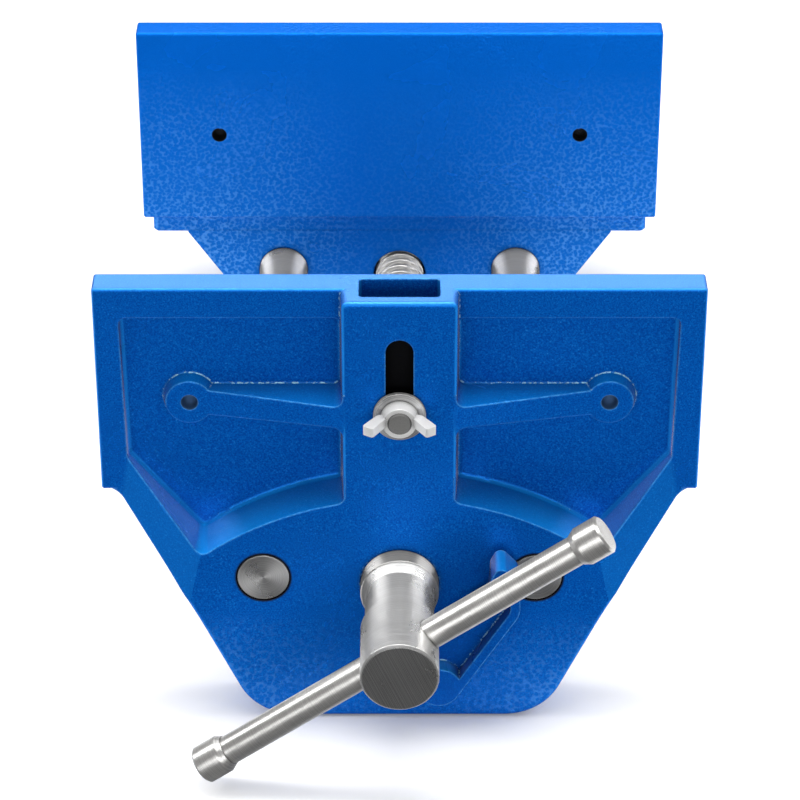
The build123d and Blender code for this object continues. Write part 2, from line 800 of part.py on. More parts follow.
def mounting_flange():
    """Flange under the bench, with rounded rear corners and four bolt holes."""
    flange = block(-flange_half, flange_half, wall_near, casting_end, -flange_thick, 0)
    upright = flange.edges().filter_by(Axis.Z).sort_by(Axis.Y)
    flange = fillet(upright[2:], flange_corner)
    flange = fillet(flange.edges().filter_by(Axis.Z).sort_by(Axis.Y)[:2], flange_ear)
    flange = chamfer(flange.faces().sort_by(Axis.Z)[0].edges(), edge_round)
    bolts = GridLocations(bolt_spacing_x, bolt_spacing_y, 2, 2) * Cylinder(bolt_hole / 2, 3 * flange_thick)
    return flange - bolts


def barrel(side):
    """Barrel round a guide bar and the web that joins it to the flange."""
    x = side * bar_half
    near = wall_near + overrun
    tube = rod(x, bar_z, barrel_radius, casting_end, near)
    half = barrel_web / 2
    return tube + block(x - half, x + half, near, casting_end - web_setback, bar_z, -overrun)


def rear_bores():
    """Bores of the rear jaw: guide bars, screw, half nut pin, cam sleeve and cheek screws."""
    cut = rod(0, screw_z, screw_radius + screw_clear, casting_end, wall_near)
    cut += rod(nut_pivot_x, nut_pivot_z, nut_pin_radius, casting_end, wall_near)
    cut += rod(release_x, release_z, cam_radius + running_gap, casting_end, wall_near + cam_ledge)
    cut += rod(release_x, release_z, cam_radius - cam_seat, casting_end, wall_near)
    for side in (-1, 1):
        cut += rod(side * bar_half, bar_z, bar_radius + running_gap, casting_end, wall_near)
        cut += rod(side * cheek_half, depth(cheek_depth), cheek_hole / 2, casting_end, behind(0))
    return cut


def rear_jaw():
    """Fixed jaw: plate, mounting flange, two walls below it and a barrel for each guide bar."""
    plate = Pos(0, depth(plate_height / 2)) * Rectangle(jaw_width, plate_height)
    plate = slab(plate, behind(plate_thick), behind(0))
    jaw = fillet(plate.edges(), edge_round) + mounting_flange()
    jaw += slab(wall_outline(), wall_near + apron_thick, wall_near)
    jaw += slab(wall_outline(), wall_far, behind(rear_wall_start))
    jaw += barrel(-1) + barrel(1)
    return jaw - rear_bores()


# Half nut and its cam
def fork():
    """Forked tail of the half nut, seen by the user, open to the right for the cam's finger."""
    slot = finger_radius + fork_slack
    bottom = fork_z - slot - fork_prong
    top = depth(nut_bottom_depth) + overrun
    left = fork_x - fork_mouth - fork_wall
    right = fork_x + fork_reach
    tail = Pos((left + right) / 2, (top + bottom) / 2) * Rectangle(right - left, top - bottom)
    beyond = fork_mouth + fork_reach
    return tail - Pos(right, fork_z) * Rectangle(2 * beyond, 2 * slot)


def half_nut():
    """Half nut hinged beside the screw: a trough for the thread, an eye on the pin and a forked tail."""
    near = wall_near + apron_thick + face_gap
    far = behind(rear_wall_start) - face_gap
    trough = screw_radius + face_gap
    lip = screw_z - trough * cos(radians(nut_wrap))
    bottom = depth(nut_bottom_depth)
    span = nut_pivot_x + nut_half
    face = Pos((nut_pivot_x - nut_half) / 2, (lip + bottom) / 2) * Rectangle(span, lip - bottom)
    nut = slab(face, behind(nut_start + nut_length), behind(nut_start))
    nut += slab(fork(), behind(fork_start + fork_length), behind(fork_start))
    nut += rod(nut_pivot_x, nut_pivot_z, nut_eye_radius, far, near)
    nut -= rod(0, screw_z, trough, far, near)
    return nut - rod(nut_pivot_x, nut_pivot_z, nut_pin_radius + running_gap, far, near)


def half_nut_pin():
    """Hinge pin of the half nut, held in both walls of the casting."""
    return rod(nut_pivot_x, nut_pivot_z, nut_pin_radius, wall_far + 2 * clip_thick, wall_near)


def pin_clip():
    """Ring that keeps the hinge pin from working out."""
    near = wall_far + face_gap
    outer = nut_pin_radius + pin_clip_width
    return ring(nut_pivot_x, nut_pivot_z, outer, nut_pin_radius, near + clip_thick, near)


def release_cam():
    """Sleeve that the release bar slides through, with a finger that draws the half nut down."""
    near = wall_near + cam_ledge + face_gap
    centre = behind(fork_start + fork_length / 2)
    half = fork_length / 2 - face_gap
    finger = strap(fork_x, fork_z, finger_radius, release_x, release_z, finger_root_radius)
    cam = rod(release_x, release_z, cam_radius, wall_far, near) + slab(finger, centre + half, centre - half)
    side = release_square + 2 * cam_gap
    return cam - slab(Pos(release_x, release_z) * Rectangle(side, side), wall_far, near)


nodes = {
    "rear_jaw": rear_jaw(),
    "front_jaw": front_jaw(),
    "guide_bar_left": guide_bar(-1),
    "guide_bar_right": guide_bar(1),
    "end_bracket": end_bracket(),
    "tie_washers": tie_washers(),
    "tie_nuts": tie_nuts(),
    "thrust_washer": thrust_washer(),
    "screw_hub": screw_hub(),
    "main_screw": main_screw(),
    "screw_collar": screw_collar(),
    "collar_pin": collar_pin(),
    "screw_clip": end_clip(0, screw_z, tail_radius),
    "tommy_bar": tommy_bar(),
    "handle_knob_left": handle_knob(-1),
    "handle_knob_right": handle_knob(1),
    "dog": dog(),
    "dog_stud": dog_stud(),
    "dog_washer": dog_washer(),
    "wing_nut": wing_nut(),
    "release_lever": release_lever(),
    "lever_pin": lever_pin(),
    "release_bar": release_bar(),
    "lever_spring": lever_spring(),
    "spring_collar": spring_collar(),
    "release_clip": end_clip(release_x, release_z, journal_radius),
    "half_nut": half_nut(),
    "half_nut_pin": half_nut_pin(),
    "pin_clip": pin_clip(),
    "release_cam": release_cam(),
}

os.makedirs("parts", exist_ok=True)
for name, shape in nodes.items():
    export_step(shape, f"parts/{name}.step")
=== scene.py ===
# %% [markdown]
# # Quick-release woodworking vise
#
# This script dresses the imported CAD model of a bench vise: two painted iron jaws on turned guide
# bars, a main screw with a sliding tommy bar, a quick-release lever and a rising bench dog. The
# solids have every main form already. What is added here are the finishes, smooth shading, the
# screw's thread, the spring's coils and a small studio. Every length is in metres, and places are
# read from the CAD pieces, so that the looks follow the model when its sizes change.

import json
import math

import bpy
import numpy as np
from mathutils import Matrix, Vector


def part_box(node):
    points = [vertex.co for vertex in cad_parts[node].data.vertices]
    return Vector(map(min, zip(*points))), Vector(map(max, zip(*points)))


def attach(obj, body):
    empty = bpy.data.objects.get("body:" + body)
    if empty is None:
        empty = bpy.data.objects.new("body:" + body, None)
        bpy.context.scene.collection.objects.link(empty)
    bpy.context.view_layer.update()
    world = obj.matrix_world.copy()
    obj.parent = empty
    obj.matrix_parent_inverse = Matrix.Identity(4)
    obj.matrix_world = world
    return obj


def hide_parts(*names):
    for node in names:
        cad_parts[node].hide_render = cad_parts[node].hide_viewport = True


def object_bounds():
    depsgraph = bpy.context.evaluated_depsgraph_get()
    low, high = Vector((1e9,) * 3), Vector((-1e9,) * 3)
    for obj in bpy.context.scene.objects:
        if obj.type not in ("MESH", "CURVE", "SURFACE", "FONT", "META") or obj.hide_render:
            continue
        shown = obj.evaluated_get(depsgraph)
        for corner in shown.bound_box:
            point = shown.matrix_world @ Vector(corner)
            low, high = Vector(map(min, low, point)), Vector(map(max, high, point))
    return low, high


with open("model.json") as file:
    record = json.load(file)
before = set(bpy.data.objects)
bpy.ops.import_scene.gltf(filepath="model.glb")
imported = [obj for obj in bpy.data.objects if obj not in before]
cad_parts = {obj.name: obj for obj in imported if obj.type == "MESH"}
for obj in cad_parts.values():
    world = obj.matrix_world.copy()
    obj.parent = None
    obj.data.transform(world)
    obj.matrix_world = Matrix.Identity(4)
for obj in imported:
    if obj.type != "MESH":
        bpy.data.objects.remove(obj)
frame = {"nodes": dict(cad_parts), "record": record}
nodes, record = frame["nodes"], frame["record"]
members = record["behaviour"]["bodies"]
bodies = {name: body for body, names in members.items() for name in names}
size_at_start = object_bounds()
MM = 0.001
print(len(nodes), "nodes between", *size_at_start)

# %% [markdown]
# ## Building shader networks
#
# A finish is a network of shader nodes. It could be joined by hand in the shader editor, but some
# networks below have more than fifty nodes, and as code they can be read and repeated. `node` adds
# a node and feeds its inputs in one line. The names after it stand for what comes up most: sums and
# products, a ramp between two levels, noises, and one colour laid over another.


# %% Shader helpers
def feed(tree, made, inputs):
    """Gives a node's inputs, by name or number, a value or another node's output."""
    for key, value in dict(inputs).items():
        if isinstance(value, bpy.types.NodeSocket):
            tree.links.new(value, made.inputs[key])
        else:
            made.inputs[key].default_value = value
    return made


def node(tree, kind, inputs=(), **settings):
    """Adds a shader node, sets it up and feeds its inputs."""
    made = tree.nodes.new("ShaderNode" + kind)
    for key, value in settings.items():
        setattr(made, key, value)
    return feed(tree, made, inputs)


def maths(tree, operation, first, second=0.0, third=0.0):
    """The output of a Math node. "MULTIPLY_ADD" is first times second plus third."""
    return node(tree, "Math", {0: first, 1: second, 2: third}, operation=operation).outputs[0]


def product(tree, first, *others):
    """Multiplies numbers or masks one after the other."""
    for other in others:
        first = maths(tree, "MULTIPLY", first, other)
    return first


def distance(tree, across, up):
    """The square root of across squared plus up squared."""
    squares = maths(tree, "ADD", product(tree, across, across), product(tree, up, up))
    return maths(tree, "SQRT", squares)


def ramp(tree, value, low, high, bottom=0.0, top=1.0):
    """Maps low..high to bottom..top, held at both ends."""
    inputs = {"Value": value, "From Min": low, "From Max": high, "To Min": bottom, "To Max": top}
    return node(tree, "MapRange", inputs).outputs["Result"]


def split(tree, vector):
    """The x, y and z of a vector."""
    return tuple(node(tree, "SeparateXYZ", {0: vector}).outputs)


def noise(tree, vector, scale, detail):
    """A cloudy noise about 0.5, with scale waves to the metre."""
    return node(tree, "TexNoise", {"Vector": vector, "Scale": scale, "Detail": detail}).outputs[0]


def stripes(tree, along, detail):
    """A noise of one number, with one wave to each unit."""
    inputs = {"W": along, "Scale": 1.0, "Detail": detail}
    return node(tree, "TexNoise", inputs, noise_dimensions="1D").outputs[0]


def grey(tree, value):
    """A grey of the given brightness."""
    return node(tree, "CombineColor", {0: value, 1: value, 2: value}).outputs[0]


def blend(tree, factor, first, second):
    """Mixes two colours: the first where the factor is 0, the second where it is 1."""
    return node(tree, "Mix", {0: factor, 6: first, 7: second}, data_type="RGBA").outputs[2]


def cover(tree, under, mask, amount, colour):
    """Lays a plain colour over another one where a mask is 1, as thickly as amount says."""
    return blend(tree, product(tree, mask, amount), under, (*colour, 1))


def bumped(tree, height, depth, normal):
    """The given normal, turned as if the surface rose by height times depth metres."""
    inputs = {"Strength": 1.0, "Distance": depth, "Height": height, "Normal": normal}
    return node(tree, "Bump", inputs).outputs[0]


print("shader helpers ready")

# %% [markdown]
# ## Shared surface effects
#
# An effect that several finishes use, such as edge wear with its painted highlight, or smudges, is
# a node group: it is built once and placed in each material with its own values. Eight groups make
# up all the finishes. A group only hands out numbers, masks and normals, and each material keeps
# its own Principled BSDF, so that an exported model can still read it.


# %% Group helpers
def group(name, inputs, outputs):
    """An empty node group. inputs maps a name to its kind and value, outputs a name to its kind."""
    tree = bpy.data.node_groups.new(name, "ShaderNodeTree")
    for key, (kind, value) in inputs.items():
        socket = tree.interface.new_socket(key, in_out="INPUT", socket_type="NodeSocket" + kind)
        if value is not None:
            socket.default_value = value
    for key, kind in outputs.items():
        tree.interface.new_socket(key, in_out="OUTPUT", socket_type="NodeSocket" + kind)
    return tree, tree.nodes.new("NodeGroupInput").outputs, tree.nodes.new("NodeGroupOutput").inputs


def hand_out(tree, result, **outputs):
    """Joins what a group has worked out to its own outputs, and returns the finished group."""
    for key, value in outputs.items():
        tree.links.new(value, result[key])
    print(tree.name, "has", len(tree.nodes), "nodes")
    return tree


def use(tree, shared, inputs):
    """Puts a shared group into a material and returns its outputs."""
    made = tree.nodes.new("ShaderNodeGroup")
    made.node_tree = shared
    return feed(tree, made, inputs).outputs


print("group helpers ready")

# %% [markdown]
# ### Edge wear and painted edge light
#
# No edge of a real casting is sharp: a tiny round catches the light there, and paint or polish
# wears thin. A Bevel modifier could cut such rounds, at the price of many thin faces. The Bevel
# node only bends the normal near an edge, and how far it bends also tells where the edge is, which
# gives the mask. The finishes make that mask paler, partly for wear and partly as a painted
# highlight of the round. *Break Up* lets it come in patches, *Glint* picks its brightest grains for
# painted glints, and edges that look down keep only the share *Below*: no hand rubs them, and they
# get less painted highlight, as no light finds them.

# %% Edge wear and painted edge light
# The mask below is wear and painted highlight in one.
EDGE_TURN = (0.012, 0.11)  # one minus the cosine between both normals: wear starts, wear is full
FROM_BELOW = (-0.15, 0.05)  # upward share of the normal: looks down, looks out
EDGE_GRAIN = 650.0  # waves of the wear's noise to the metre
GAPS, GLINTS = (0.42, 0.62), (0.50, 0.60)  # levels of that noise


def make_edges():
    """Rounded normals, and a mask that is 1 on an edge: how far the rounded normal turns away."""
    tree, given, result = group(
        "Edge_wear_and_light",
        {
            "Radius": ("Float", 0.8 * MM),
            "Break Up": ("Float", 0.5),
            "Below": ("Float", 1.0),
            "Vector": ("Vector", None),
        },
        {"Normal": "Vector", "Mask": "Float", "Glint": "Float"},
    )
    rounded = node(tree, "Bevel", {"Radius": given["Radius"]}, samples=6).outputs[0]
    flat = node(tree, "NewGeometry").outputs["Normal"]
    agree = node(tree, "VectorMath", {0: rounded, 1: flat}, operation="DOT_PRODUCT")
    upward = ramp(tree, split(tree, rounded)[2], *FROM_BELOW)
    turn = ramp(tree, maths(tree, "SUBTRACT", 1.0, agree.outputs["Value"]), *EDGE_TURN)
    turn = product(tree, turn, maths(tree, "MAXIMUM", upward, given["Below"]))
    grain = noise(tree, given["Vector"], EDGE_GRAIN, 3.0)
    gaps = product(tree, given["Break Up"], ramp(tree, grain, *GAPS))
    mask = product(tree, turn, maths(tree, "SUBTRACT", 1.0, gaps))
    glint = product(tree, turn, ramp(tree, grain, *GLINTS))
    return hand_out(tree, result, Normal=rounded, Mask=mask, Glint=glint)


edge_wear_and_light = make_edges()

# %% [markdown]
# ### Hammered enamel
#
# Hammertone paint dries into round dimples with thin ridges between them, and on a sand casting
# the grain of the mould shows through. Both are tenths of a millimetre across, too small for
# geometry. A smooth Voronoi texture gives the cells, and a noise bends it so that no two are alike.
# A finer noise is the orange peel, and the finest is the sand. The same textures say where a ridge
# takes a painted sheen, *Net*, where single grains are pale, *Fleck*, and where they get a painted
# sparkle, *Sparkle*.

# %% Hammered enamel
CELL_BEND = 1.6 * MM  # how far the noise pushes the cells about
PATCHES = 28.0  # waves to the metre of the slow change from deep to shallow dimples
DEEP_PATCHES = (0.32, 0.66, 0.25, 1.0)  # levels of the patches' noise, and the dimples' depth
NET_PATCHES = (0.30, 0.70, 0.6, 1.0)  # the same for the net
PEEL_FINER = 2.6  # waves of the orange peel to one cell
SAND = 1500.0  # waves of the sand's grain to the metre
DIMPLE, RIDGE = (0.10, 0.75), (0.42, 0.72)  # distances from a cell's centre, in cells
PALE_SAND, BRIGHT_SAND = (0.36, 0.66), (0.64, 0.74)  # levels of the sand's noise


def make_enamel():
    """Height of dimpled enamel: Dimples x cells + Peel x orange peel + Grain x sand."""
    tree, given, result = group(
        "Hammered_enamel",
        {
            "Vector": ("Vector", None),
            "Cell": ("Float", 3.2 * MM),
            "Dimples": ("Float", 1.0),
            "Peel": ("Float", 0.3),
            "Grain": ("Float", 0.1),
        },
        {"Height": "Float", "Fleck": "Float", "Sparkle": "Float", "Net": "Float"},
    )
    place = given["Vector"]
    scale = maths(tree, "DIVIDE", 1.0, given["Cell"])
    bend = node(tree, "TexNoise", {"Vector": place, "Scale": scale, "Detail": 1.0}).outputs["Color"]
    offset = node(tree, "VectorMath", {0: bend, 3: CELL_BEND}, operation="SCALE").outputs[0]
    bent = node(tree, "VectorMath", {0: place, 1: offset}, operation="ADD").outputs[0]
    inputs = {"Vector": bent, "Scale": scale, "Smoothness": 0.55}
    cells = node(tree, "TexVoronoi", inputs, feature="SMOOTH_F1").outputs["Distance"]
    patches = noise(tree, place, PATCHES, 2.0)
    peel = noise(tree, place, product(tree, scale, PEEL_FINER), 2.0)
    sand = noise(tree, place, SAND, 3.0)
    dimples = product(tree, ramp(tree, cells, *DIMPLE), ramp(tree, patches, *DEEP_PATCHES))
    height = product(tree, dimples, given["Dimples"])
    height = maths(tree, "MULTIPLY_ADD", peel, given["Peel"], height)
    height = maths(tree, "MULTIPLY_ADD", sand, given["Grain"], height)
    net = product(tree, ramp(tree, cells, *RIDGE), ramp(tree, patches, *NET_PATCHES))
    fleck, sparkle = ramp(tree, sand, *PALE_SAND), ramp(tree, sand, *BRIGHT_SAND)
    return hand_out(tree, result, Height=height, Fleck=fleck, Sparkle=sparkle, Net=net)


hammered_enamel = make_enamel()

# %% [markdown]
# ### Turned marks
#
# A lathe tool leaves fine hoops along a bar and circles on its end. A stretched image could show
# them, but would need a UV map for each piece. Here one noise follows a single number, the height
# along the axis plus the distance from it: on the side only the height changes, and on the end only
# the distance. Circles also throw a fan of light to both sides, and *Fan* paints it, because a
# fine bump alone is lost at a distance.

# %% Turned marks
FAN_TILT = 0.35  # leans the fan of light to one side
BROAD = 0.07  # waves of the broad bands to one fine ring
TOOL_SPECK = 1800.0  # waves to the metre of the steel's own grain
SPECK_SHARE, BAND_SHARE = 0.25, 0.15  # of the grain in the height, of the bands in the tone


def make_turned():
    """Lathe marks of a piece whose axis is the vector's z.

    Rings are noise of (z + distance from the axis) / Pitch. Fan is the cube of how far a point
    lies sideways, over its distance from the axis.
    """
    tree, given, result = group(
        "Turned_marks",
        {"Vector": ("Vector", None), "Pitch": ("Float", 0.35 * MM), "Coarse": ("Float", 0.15)},
        {"Height": "Float", "Tone": "Float", "Fan": "Float"},
    )
    across, up, along = split(tree, given["Vector"])
    radius = distance(tree, across, up)
    sideways = maths(tree, "DIVIDE", maths(tree, "MULTIPLY_ADD", up, FAN_TILT, across), radius)
    fine = maths(tree, "DIVIDE", maths(tree, "ADD", along, radius), given["Pitch"])
    rings = stripes(tree, fine, 3.0)
    bands = stripes(tree, product(tree, fine, BROAD), 2.0)
    speck = noise(tree, given["Vector"], TOOL_SPECK, 1.0)
    height = maths(tree, "MULTIPLY_ADD", bands, given["Coarse"], rings)
    height = maths(tree, "MULTIPLY_ADD", speck, SPECK_SHARE, height)
    tone = maths(tree, "MULTIPLY_ADD", bands, BAND_SHARE, product(tree, rings, 1 - BAND_SHARE))
    fan = maths(tree, "POWER", maths(tree, "ABSOLUTE", sideways), 3.0)
    return hand_out(tree, result, Height=height, Tone=tone, Fan=fan)


turned_marks = make_turned()

# %% [markdown]
# ### Handling
#
# A film of oil and finger marks keeps any real metal from one even gloss. It is a slow noise with
# finer ones in it, twisted a little, that each finish adds to its roughness. A painted map would
# put each smudge where it is wanted, but would not carry over to a piece of another size.

# %% Handling
CLEAN_SMUDGED = (0.35, 0.68)  # levels of the noise


def make_handling():
    """Smudges from 0 to 1: a twisted noise whose waves are Size long, with finer ones in it."""
    tree, given, result = group(
        "Handling", {"Vector": ("Vector", None), "Size": ("Float", 20.0 * MM)}, {"Smudge": "Float"}
    )
    scale = maths(tree, "DIVIDE", 1.0, given["Size"])
    inputs = {"Vector": given["Vector"], "Scale": scale, "Detail": 4.0, "Distortion": 0.6}
    slow = node(tree, "TexNoise", inputs).outputs[0]
    return hand_out(tree, result, Smudge=ramp(tree, slow, *CLEAN_SMUDGED))


handling = make_handling()

# %% [markdown]
# ### Bare bores
#
# The holes for the cheek screws are drilled after painting, and a narrow gap runs round each guide
# bar's end in the front jaw; the gap rings, and the rear jaw's cheek holes, are painted black as
# their shade. Both are pairs of circles, one each side of the middle. A second
# material on their faces would do too, but its border would follow the mesh's facets. This mask
# compares each point's distance from the circles' axes with their radius.

# %% Bare bores
BORE_EDGE = 1.08  # the mask has faded out at this many radii


def make_bores():
    """A mask that is 1 where the distance from (+-Across, Up) is less than Radius."""
    tree, given, result = group(
        "Bare_bores",
        {
            "Vector": ("Vector", None),
            "Across": ("Float", 88.0 * MM),
            "Up": ("Float", 44.0 * MM),
            "Radius": ("Float", 3.5 * MM),
        },
        {"Mask": "Float"},
    )
    x, _, z = split(tree, given["Vector"])
    across = maths(tree, "SUBTRACT", maths(tree, "ABSOLUTE", x), given["Across"])
    up = maths(tree, "SUBTRACT", z, given["Up"])
    reach = maths(tree, "DIVIDE", distance(tree, across, up), given["Radius"])
    return hand_out(tree, result, Mask=ramp(tree, reach, 1.0, BORE_EDGE, 1.0, 0.0))


bare_bores = make_bores()

# %% [markdown]
# ### Facing
#
# A surface that looks aslant or up takes more light than one that looks straight ahead. The lamps
# show some of that, and these two masks let the paint add the rest as painted light, a paler
# colour.
# They read the direction of the surface itself, never the camera's, so the painted light stays on
# the piece in any view.

# %% Facing
FRONT, SIDE = (0.97, 0.85), (0.20, 0.45)  # forward share of the normal, where Slant fades in
UNDERSIDE, UPPER = (-0.4, -0.1), (0.5, 0.9)  # upward share of the normal


def make_facing():
    """Slant is 1 where a surface looks between front and side, Top where it looks up."""
    tree, given, result = group(
        "Facing", {"Normal": ("Vector", None)}, {"Slant": "Float", "Top": "Float"}
    )
    _, y, z = split(tree, given["Normal"])
    ahead = maths(tree, "ABSOLUTE", y)
    between = product(tree, ramp(tree, ahead, *FRONT), ramp(tree, ahead, *SIDE))
    slant = product(tree, between, ramp(tree, z, *UNDERSIDE))
    return hand_out(tree, result, Slant=slant, Top=ramp(tree, z, *UPPER))


facing = make_facing()

# %% [markdown]
# ### Studio cards
#
# Steel shows its surroundings, and beside blue paint it would turn blue. A photographer puts white
# and grey cards round it, so that it stays neutral with strong light and dark bands. Real cards
# would have to move with the camera and cast shadows. This group gives a grey for each direction
# round the axes of the screw and the guide bars, and the paint shows it to reflections only.

# %% Studio cards
CARD_GROUND = 0.09  # the grey between the cards
# two angles up from level, in radians, and the light at each
LOW_CARD = (-1.25, -0.95, 0.85, 0.0)
HIGH_CARD_FROM, HIGH_CARD_TO = (0.20, 0.40, 0.0, 1.30), (0.70, 1.05, 1.0, 0.10)


def make_cards():
    """Grey by the angle round the nearest of the three axes: a low card and a brighter high one."""
    tree, given, result = group(
        "Studio_cards",
        {"Vector": ("Vector", None), "Across": ("Float", 58.0 * MM), "Up": ("Float", -33.0 * MM)},
        {"Tone": "Float"},
    )
    x, _, z = split(tree, given["Vector"])
    from_screw = maths(tree, "ABSOLUTE", x)
    from_bar = maths(tree, "ABSOLUTE", maths(tree, "SUBTRACT", from_screw, given["Across"]))
    across = maths(tree, "MINIMUM", from_screw, from_bar)
    angle = maths(tree, "ARCTAN2", maths(tree, "SUBTRACT", z, given["Up"]), across)
    low = ramp(tree, angle, *LOW_CARD)
    rise, fall = ramp(tree, angle, *HIGH_CARD_FROM), ramp(tree, angle, *HIGH_CARD_TO)
    tone = maths(tree, "ADD", maths(tree, "ADD", low, product(tree, rise, fall)), CARD_GROUND)
    return hand_out(tree, result, Tone=tone)


studio_cards = make_cards()

# %% [markdown]
# ### Crevices
#
# In inner corners and narrow gaps light is lost. The render's own light darkens a corner softly,
# and the finishes add a thin line of painted shade there. The Ambient Occlusion node measures how
# much of the sky within *Reach* is covered, which finds such places on any shape.

# %% Crevices
OPEN_SKY, COVERED_SKY = 0.92, 0.45  # the open share at which the mask starts and is full


def make_crevices():
    """A mask that is 1 where most of the sky within Reach is covered."""
    tree, given, result = group("Crevices", {"Reach": ("Float", 2.0 * MM)}, {"Mask": "Float"})
    sky = node(tree, "AmbientOcclusion", {"Distance": given["Reach"]}, samples=4).outputs["AO"]
    return hand_out(tree, result, Mask=ramp(tree, sky, OPEN_SKY, COVERED_SKY))


crevices = make_crevices()

# %% [markdown]
# ## Blue hammertone enamel
#
# The castings are sprayed with one blue enamel that has a little metal flake in it. A plain blue
# under a clear gloss looks like plastic, because the white it mirrors makes the blue milky. Here
# the gloss is low and the flake gives the highlights the paint's own hue. Thin layers lie over the
# base blue, each with its own mask: a painted sheen low on a plate with pale ridges between its
# dimples, painted light on slants, tops and ledges, edges paler for wear and a painted highlight,
# painted shade in hollows with painted glints in them, and the drilled holes.

# %% Paint colours
DEEP_BLUE = (0.0006, 0.077, 0.42)  # over the rough front jaw
CLEAR_BLUE = (0.0003, 0.116, 0.56)  # over the smooth rear jaw
# painted sheen: SHEEN and RIDGE blues make the plate paler low down and towards its sides
SHEEN_BLUE = (0.014, 0.19, 0.72)
RIDGE_SHEEN_BLUE = (0.11, 0.39, 0.95)
FLECK_BLUE = (0.001, 0.24, 0.90)
# painted highlight: SPARKLE blue for grains that shine
SPARKLE_BLUE = (0.05, 0.40, 1.0)
# painted light: SLANT, TOP and LEDGE blues make faces paler that look aslant or up
SLANT_LIGHT_BLUE = (0.012, 0.30, 0.90)
TOP_LIGHT_BLUE = (0.14, 0.43, 0.95)
LEDGE_LIGHT_BLUE = (0.001, 0.36, 1.0)
# wear and painted highlight: EDGE blue makes rounded edges paler
EDGE_WEAR_AND_LIGHT_BLUE = (0.08, 0.42, 0.95)
# painted shade: HOLLOW blue darkens hollows
HOLLOW_SHADE_BLUE = (0.0002, 0.035, 0.20)
# painted highlight: GLINT, near white, for glints in hollows and on inner edges
GLINT = (0.45, 0.88, 1.0)
DRILLED = (0.06, 0.15, 0.32)
# painted shade: GAP black fills narrow gaps and deep holes
GAP_SHADE_BLACK = (0.008, 0.009, 0.012)
print("paint from", DEEP_BLUE, "to", GLINT)

# %% [markdown]
# ### From the masks to a painted casting
#
# The layers could be one long chain of nodes in a single function. They are split by what they
# stand for: painted sheen and painted light on open faces, wear, painted highlights and painted
# shade at edges and in hollows, and the holes. Each step takes the colour so far and returns it
# with its own layers on top.

# %% Painted layers
OUTWARD = (20 * MM, 90 * MM)  # from the middle to the sides, where the sheen grows
TOP_EDGE = (90 * MM, 60 * MM)  # heights of the jaws' top edges and of the first ledges
# painted light: the heights over which ledges are painted paler, and by how much more
LOW_LEDGES = (0.0, -20 * MM)  # heights over which ledges turn paler
SHEEN_SHARE, LEDGE_LIGHT_GAIN = 0.8, 2.3
HOLLOW_SHADE, GLINT_GAIN = 0.45, 2.8


def finish(name):
    """A new material: its node tree, its Principled BSDF and object coordinates in metres."""
    material = bpy.data.materials.new(name)
    material.use_nodes = True
    tree = material.node_tree
    return material, tree, tree.nodes["Principled BSDF"], node(tree, "TexCoord").outputs["Object"]


def lit_paint(tree, place, blue, coat, smudge, speck, net, sheen, slants, tops):
    """The paint of open faces.

    The net of ridges and the low plate take a painted sheen, which fades in from the first height
    of sheen to the second, and towards the sides. slants and tops say how much painted light
    makes faces paler that look aslant or up: the jaws' top edges are painted milky, and ledges
    below them a clear blue, which is stronger below the bench. speck sets pale flecks and painted
    sparkle.
    """
    x, _, z = split(tree, place)
    sides = ramp(tree, maths(tree, "ABSOLUTE", x), *OUTWARD, 0.2, 1.0)
    low = product(tree, ramp(tree, z, *sheen), sides, net)
    looks = use(tree, facing, {"Normal": node(tree, "NewGeometry").outputs["Normal"]})
    colour = blend(tree, smudge, (*blue, 1), (*(1.04 * c for c in blue), 1))
    # painted sheen: the blue is paler low on the casting and towards its sides
    colour = cover(tree, colour, low, SHEEN_SHARE, SHEEN_BLUE)
    colour = cover(tree, colour, coat["Fleck"], speck, FLECK_BLUE)
    # painted sheen: ridges between the dimples are paler there
    colour = cover(tree, colour, coat["Net"], low, RIDGE_SHEEN_BLUE)
    # painted light: faces that look aslant are painted paler
    colour = cover(tree, colour, looks["Slant"], slants, SLANT_LIGHT_BLUE)
    # painted light: faces that look up are painted paler, the top edges milky and low ledges clear
    # blue
    top_light_mask = product(tree, looks["Top"], ramp(tree, z, *LOW_LEDGES, 1.0, LEDGE_LIGHT_GAIN), tops)
    top_light_colour = blend(tree, ramp(tree, z, *TOP_EDGE), (*TOP_LIGHT_BLUE, 1), (*LEDGE_LIGHT_BLUE, 1))
    colour = blend(tree, top_light_mask, colour, top_light_colour)
    # painted highlight: single grains sparkle
    return cover(tree, colour, coat["Sparkle"], speck, SPARKLE_BLUE)


def wear_shade_and_glints(tree, colour, coat, edge, wear_and_light):
    """Pale edges from wear and a painted highlight, painted shade in hollows, and painted glints.
    """
    hollow = use(tree, crevices, {"Reach": 3.0 * MM})["Mask"]
    open_edge = product(tree, maths(tree, "SUBTRACT", 1.0, hollow), edge["Mask"])
    # wear and painted highlight: rounded edges outside the hollows are paler
    colour = cover(tree, colour, open_edge, wear_and_light, EDGE_WEAR_AND_LIGHT_BLUE)
    # painted shade: hollows are darkened
    colour = cover(tree, colour, hollow, HOLLOW_SHADE, HOLLOW_SHADE_BLUE)
    # painted highlight: grains in hollows and dotted inner edges glint
    hollow_glints = product(tree, hollow, hollow, coat["Sparkle"], 0.5)
    edge_glints = maths(tree, "MINIMUM", product(tree, edge["Glint"], hollow, GLINT_GAIN), 1.0)
    return cover(tree, colour, maths(tree, "MAXIMUM", hollow_glints, edge_glints), wear_and_light, GLINT)


print("painted layers ready")

# %% [markdown]
# ### The enamel material
#
# The height of the coat goes through a Bump node on top of the rounded edges' normal, so dimples
# run over an edge as paint does. Smudges and bare bores make the gloss uneven. The paint answers
# reflections with the studio cards, and everything else with its own colour.


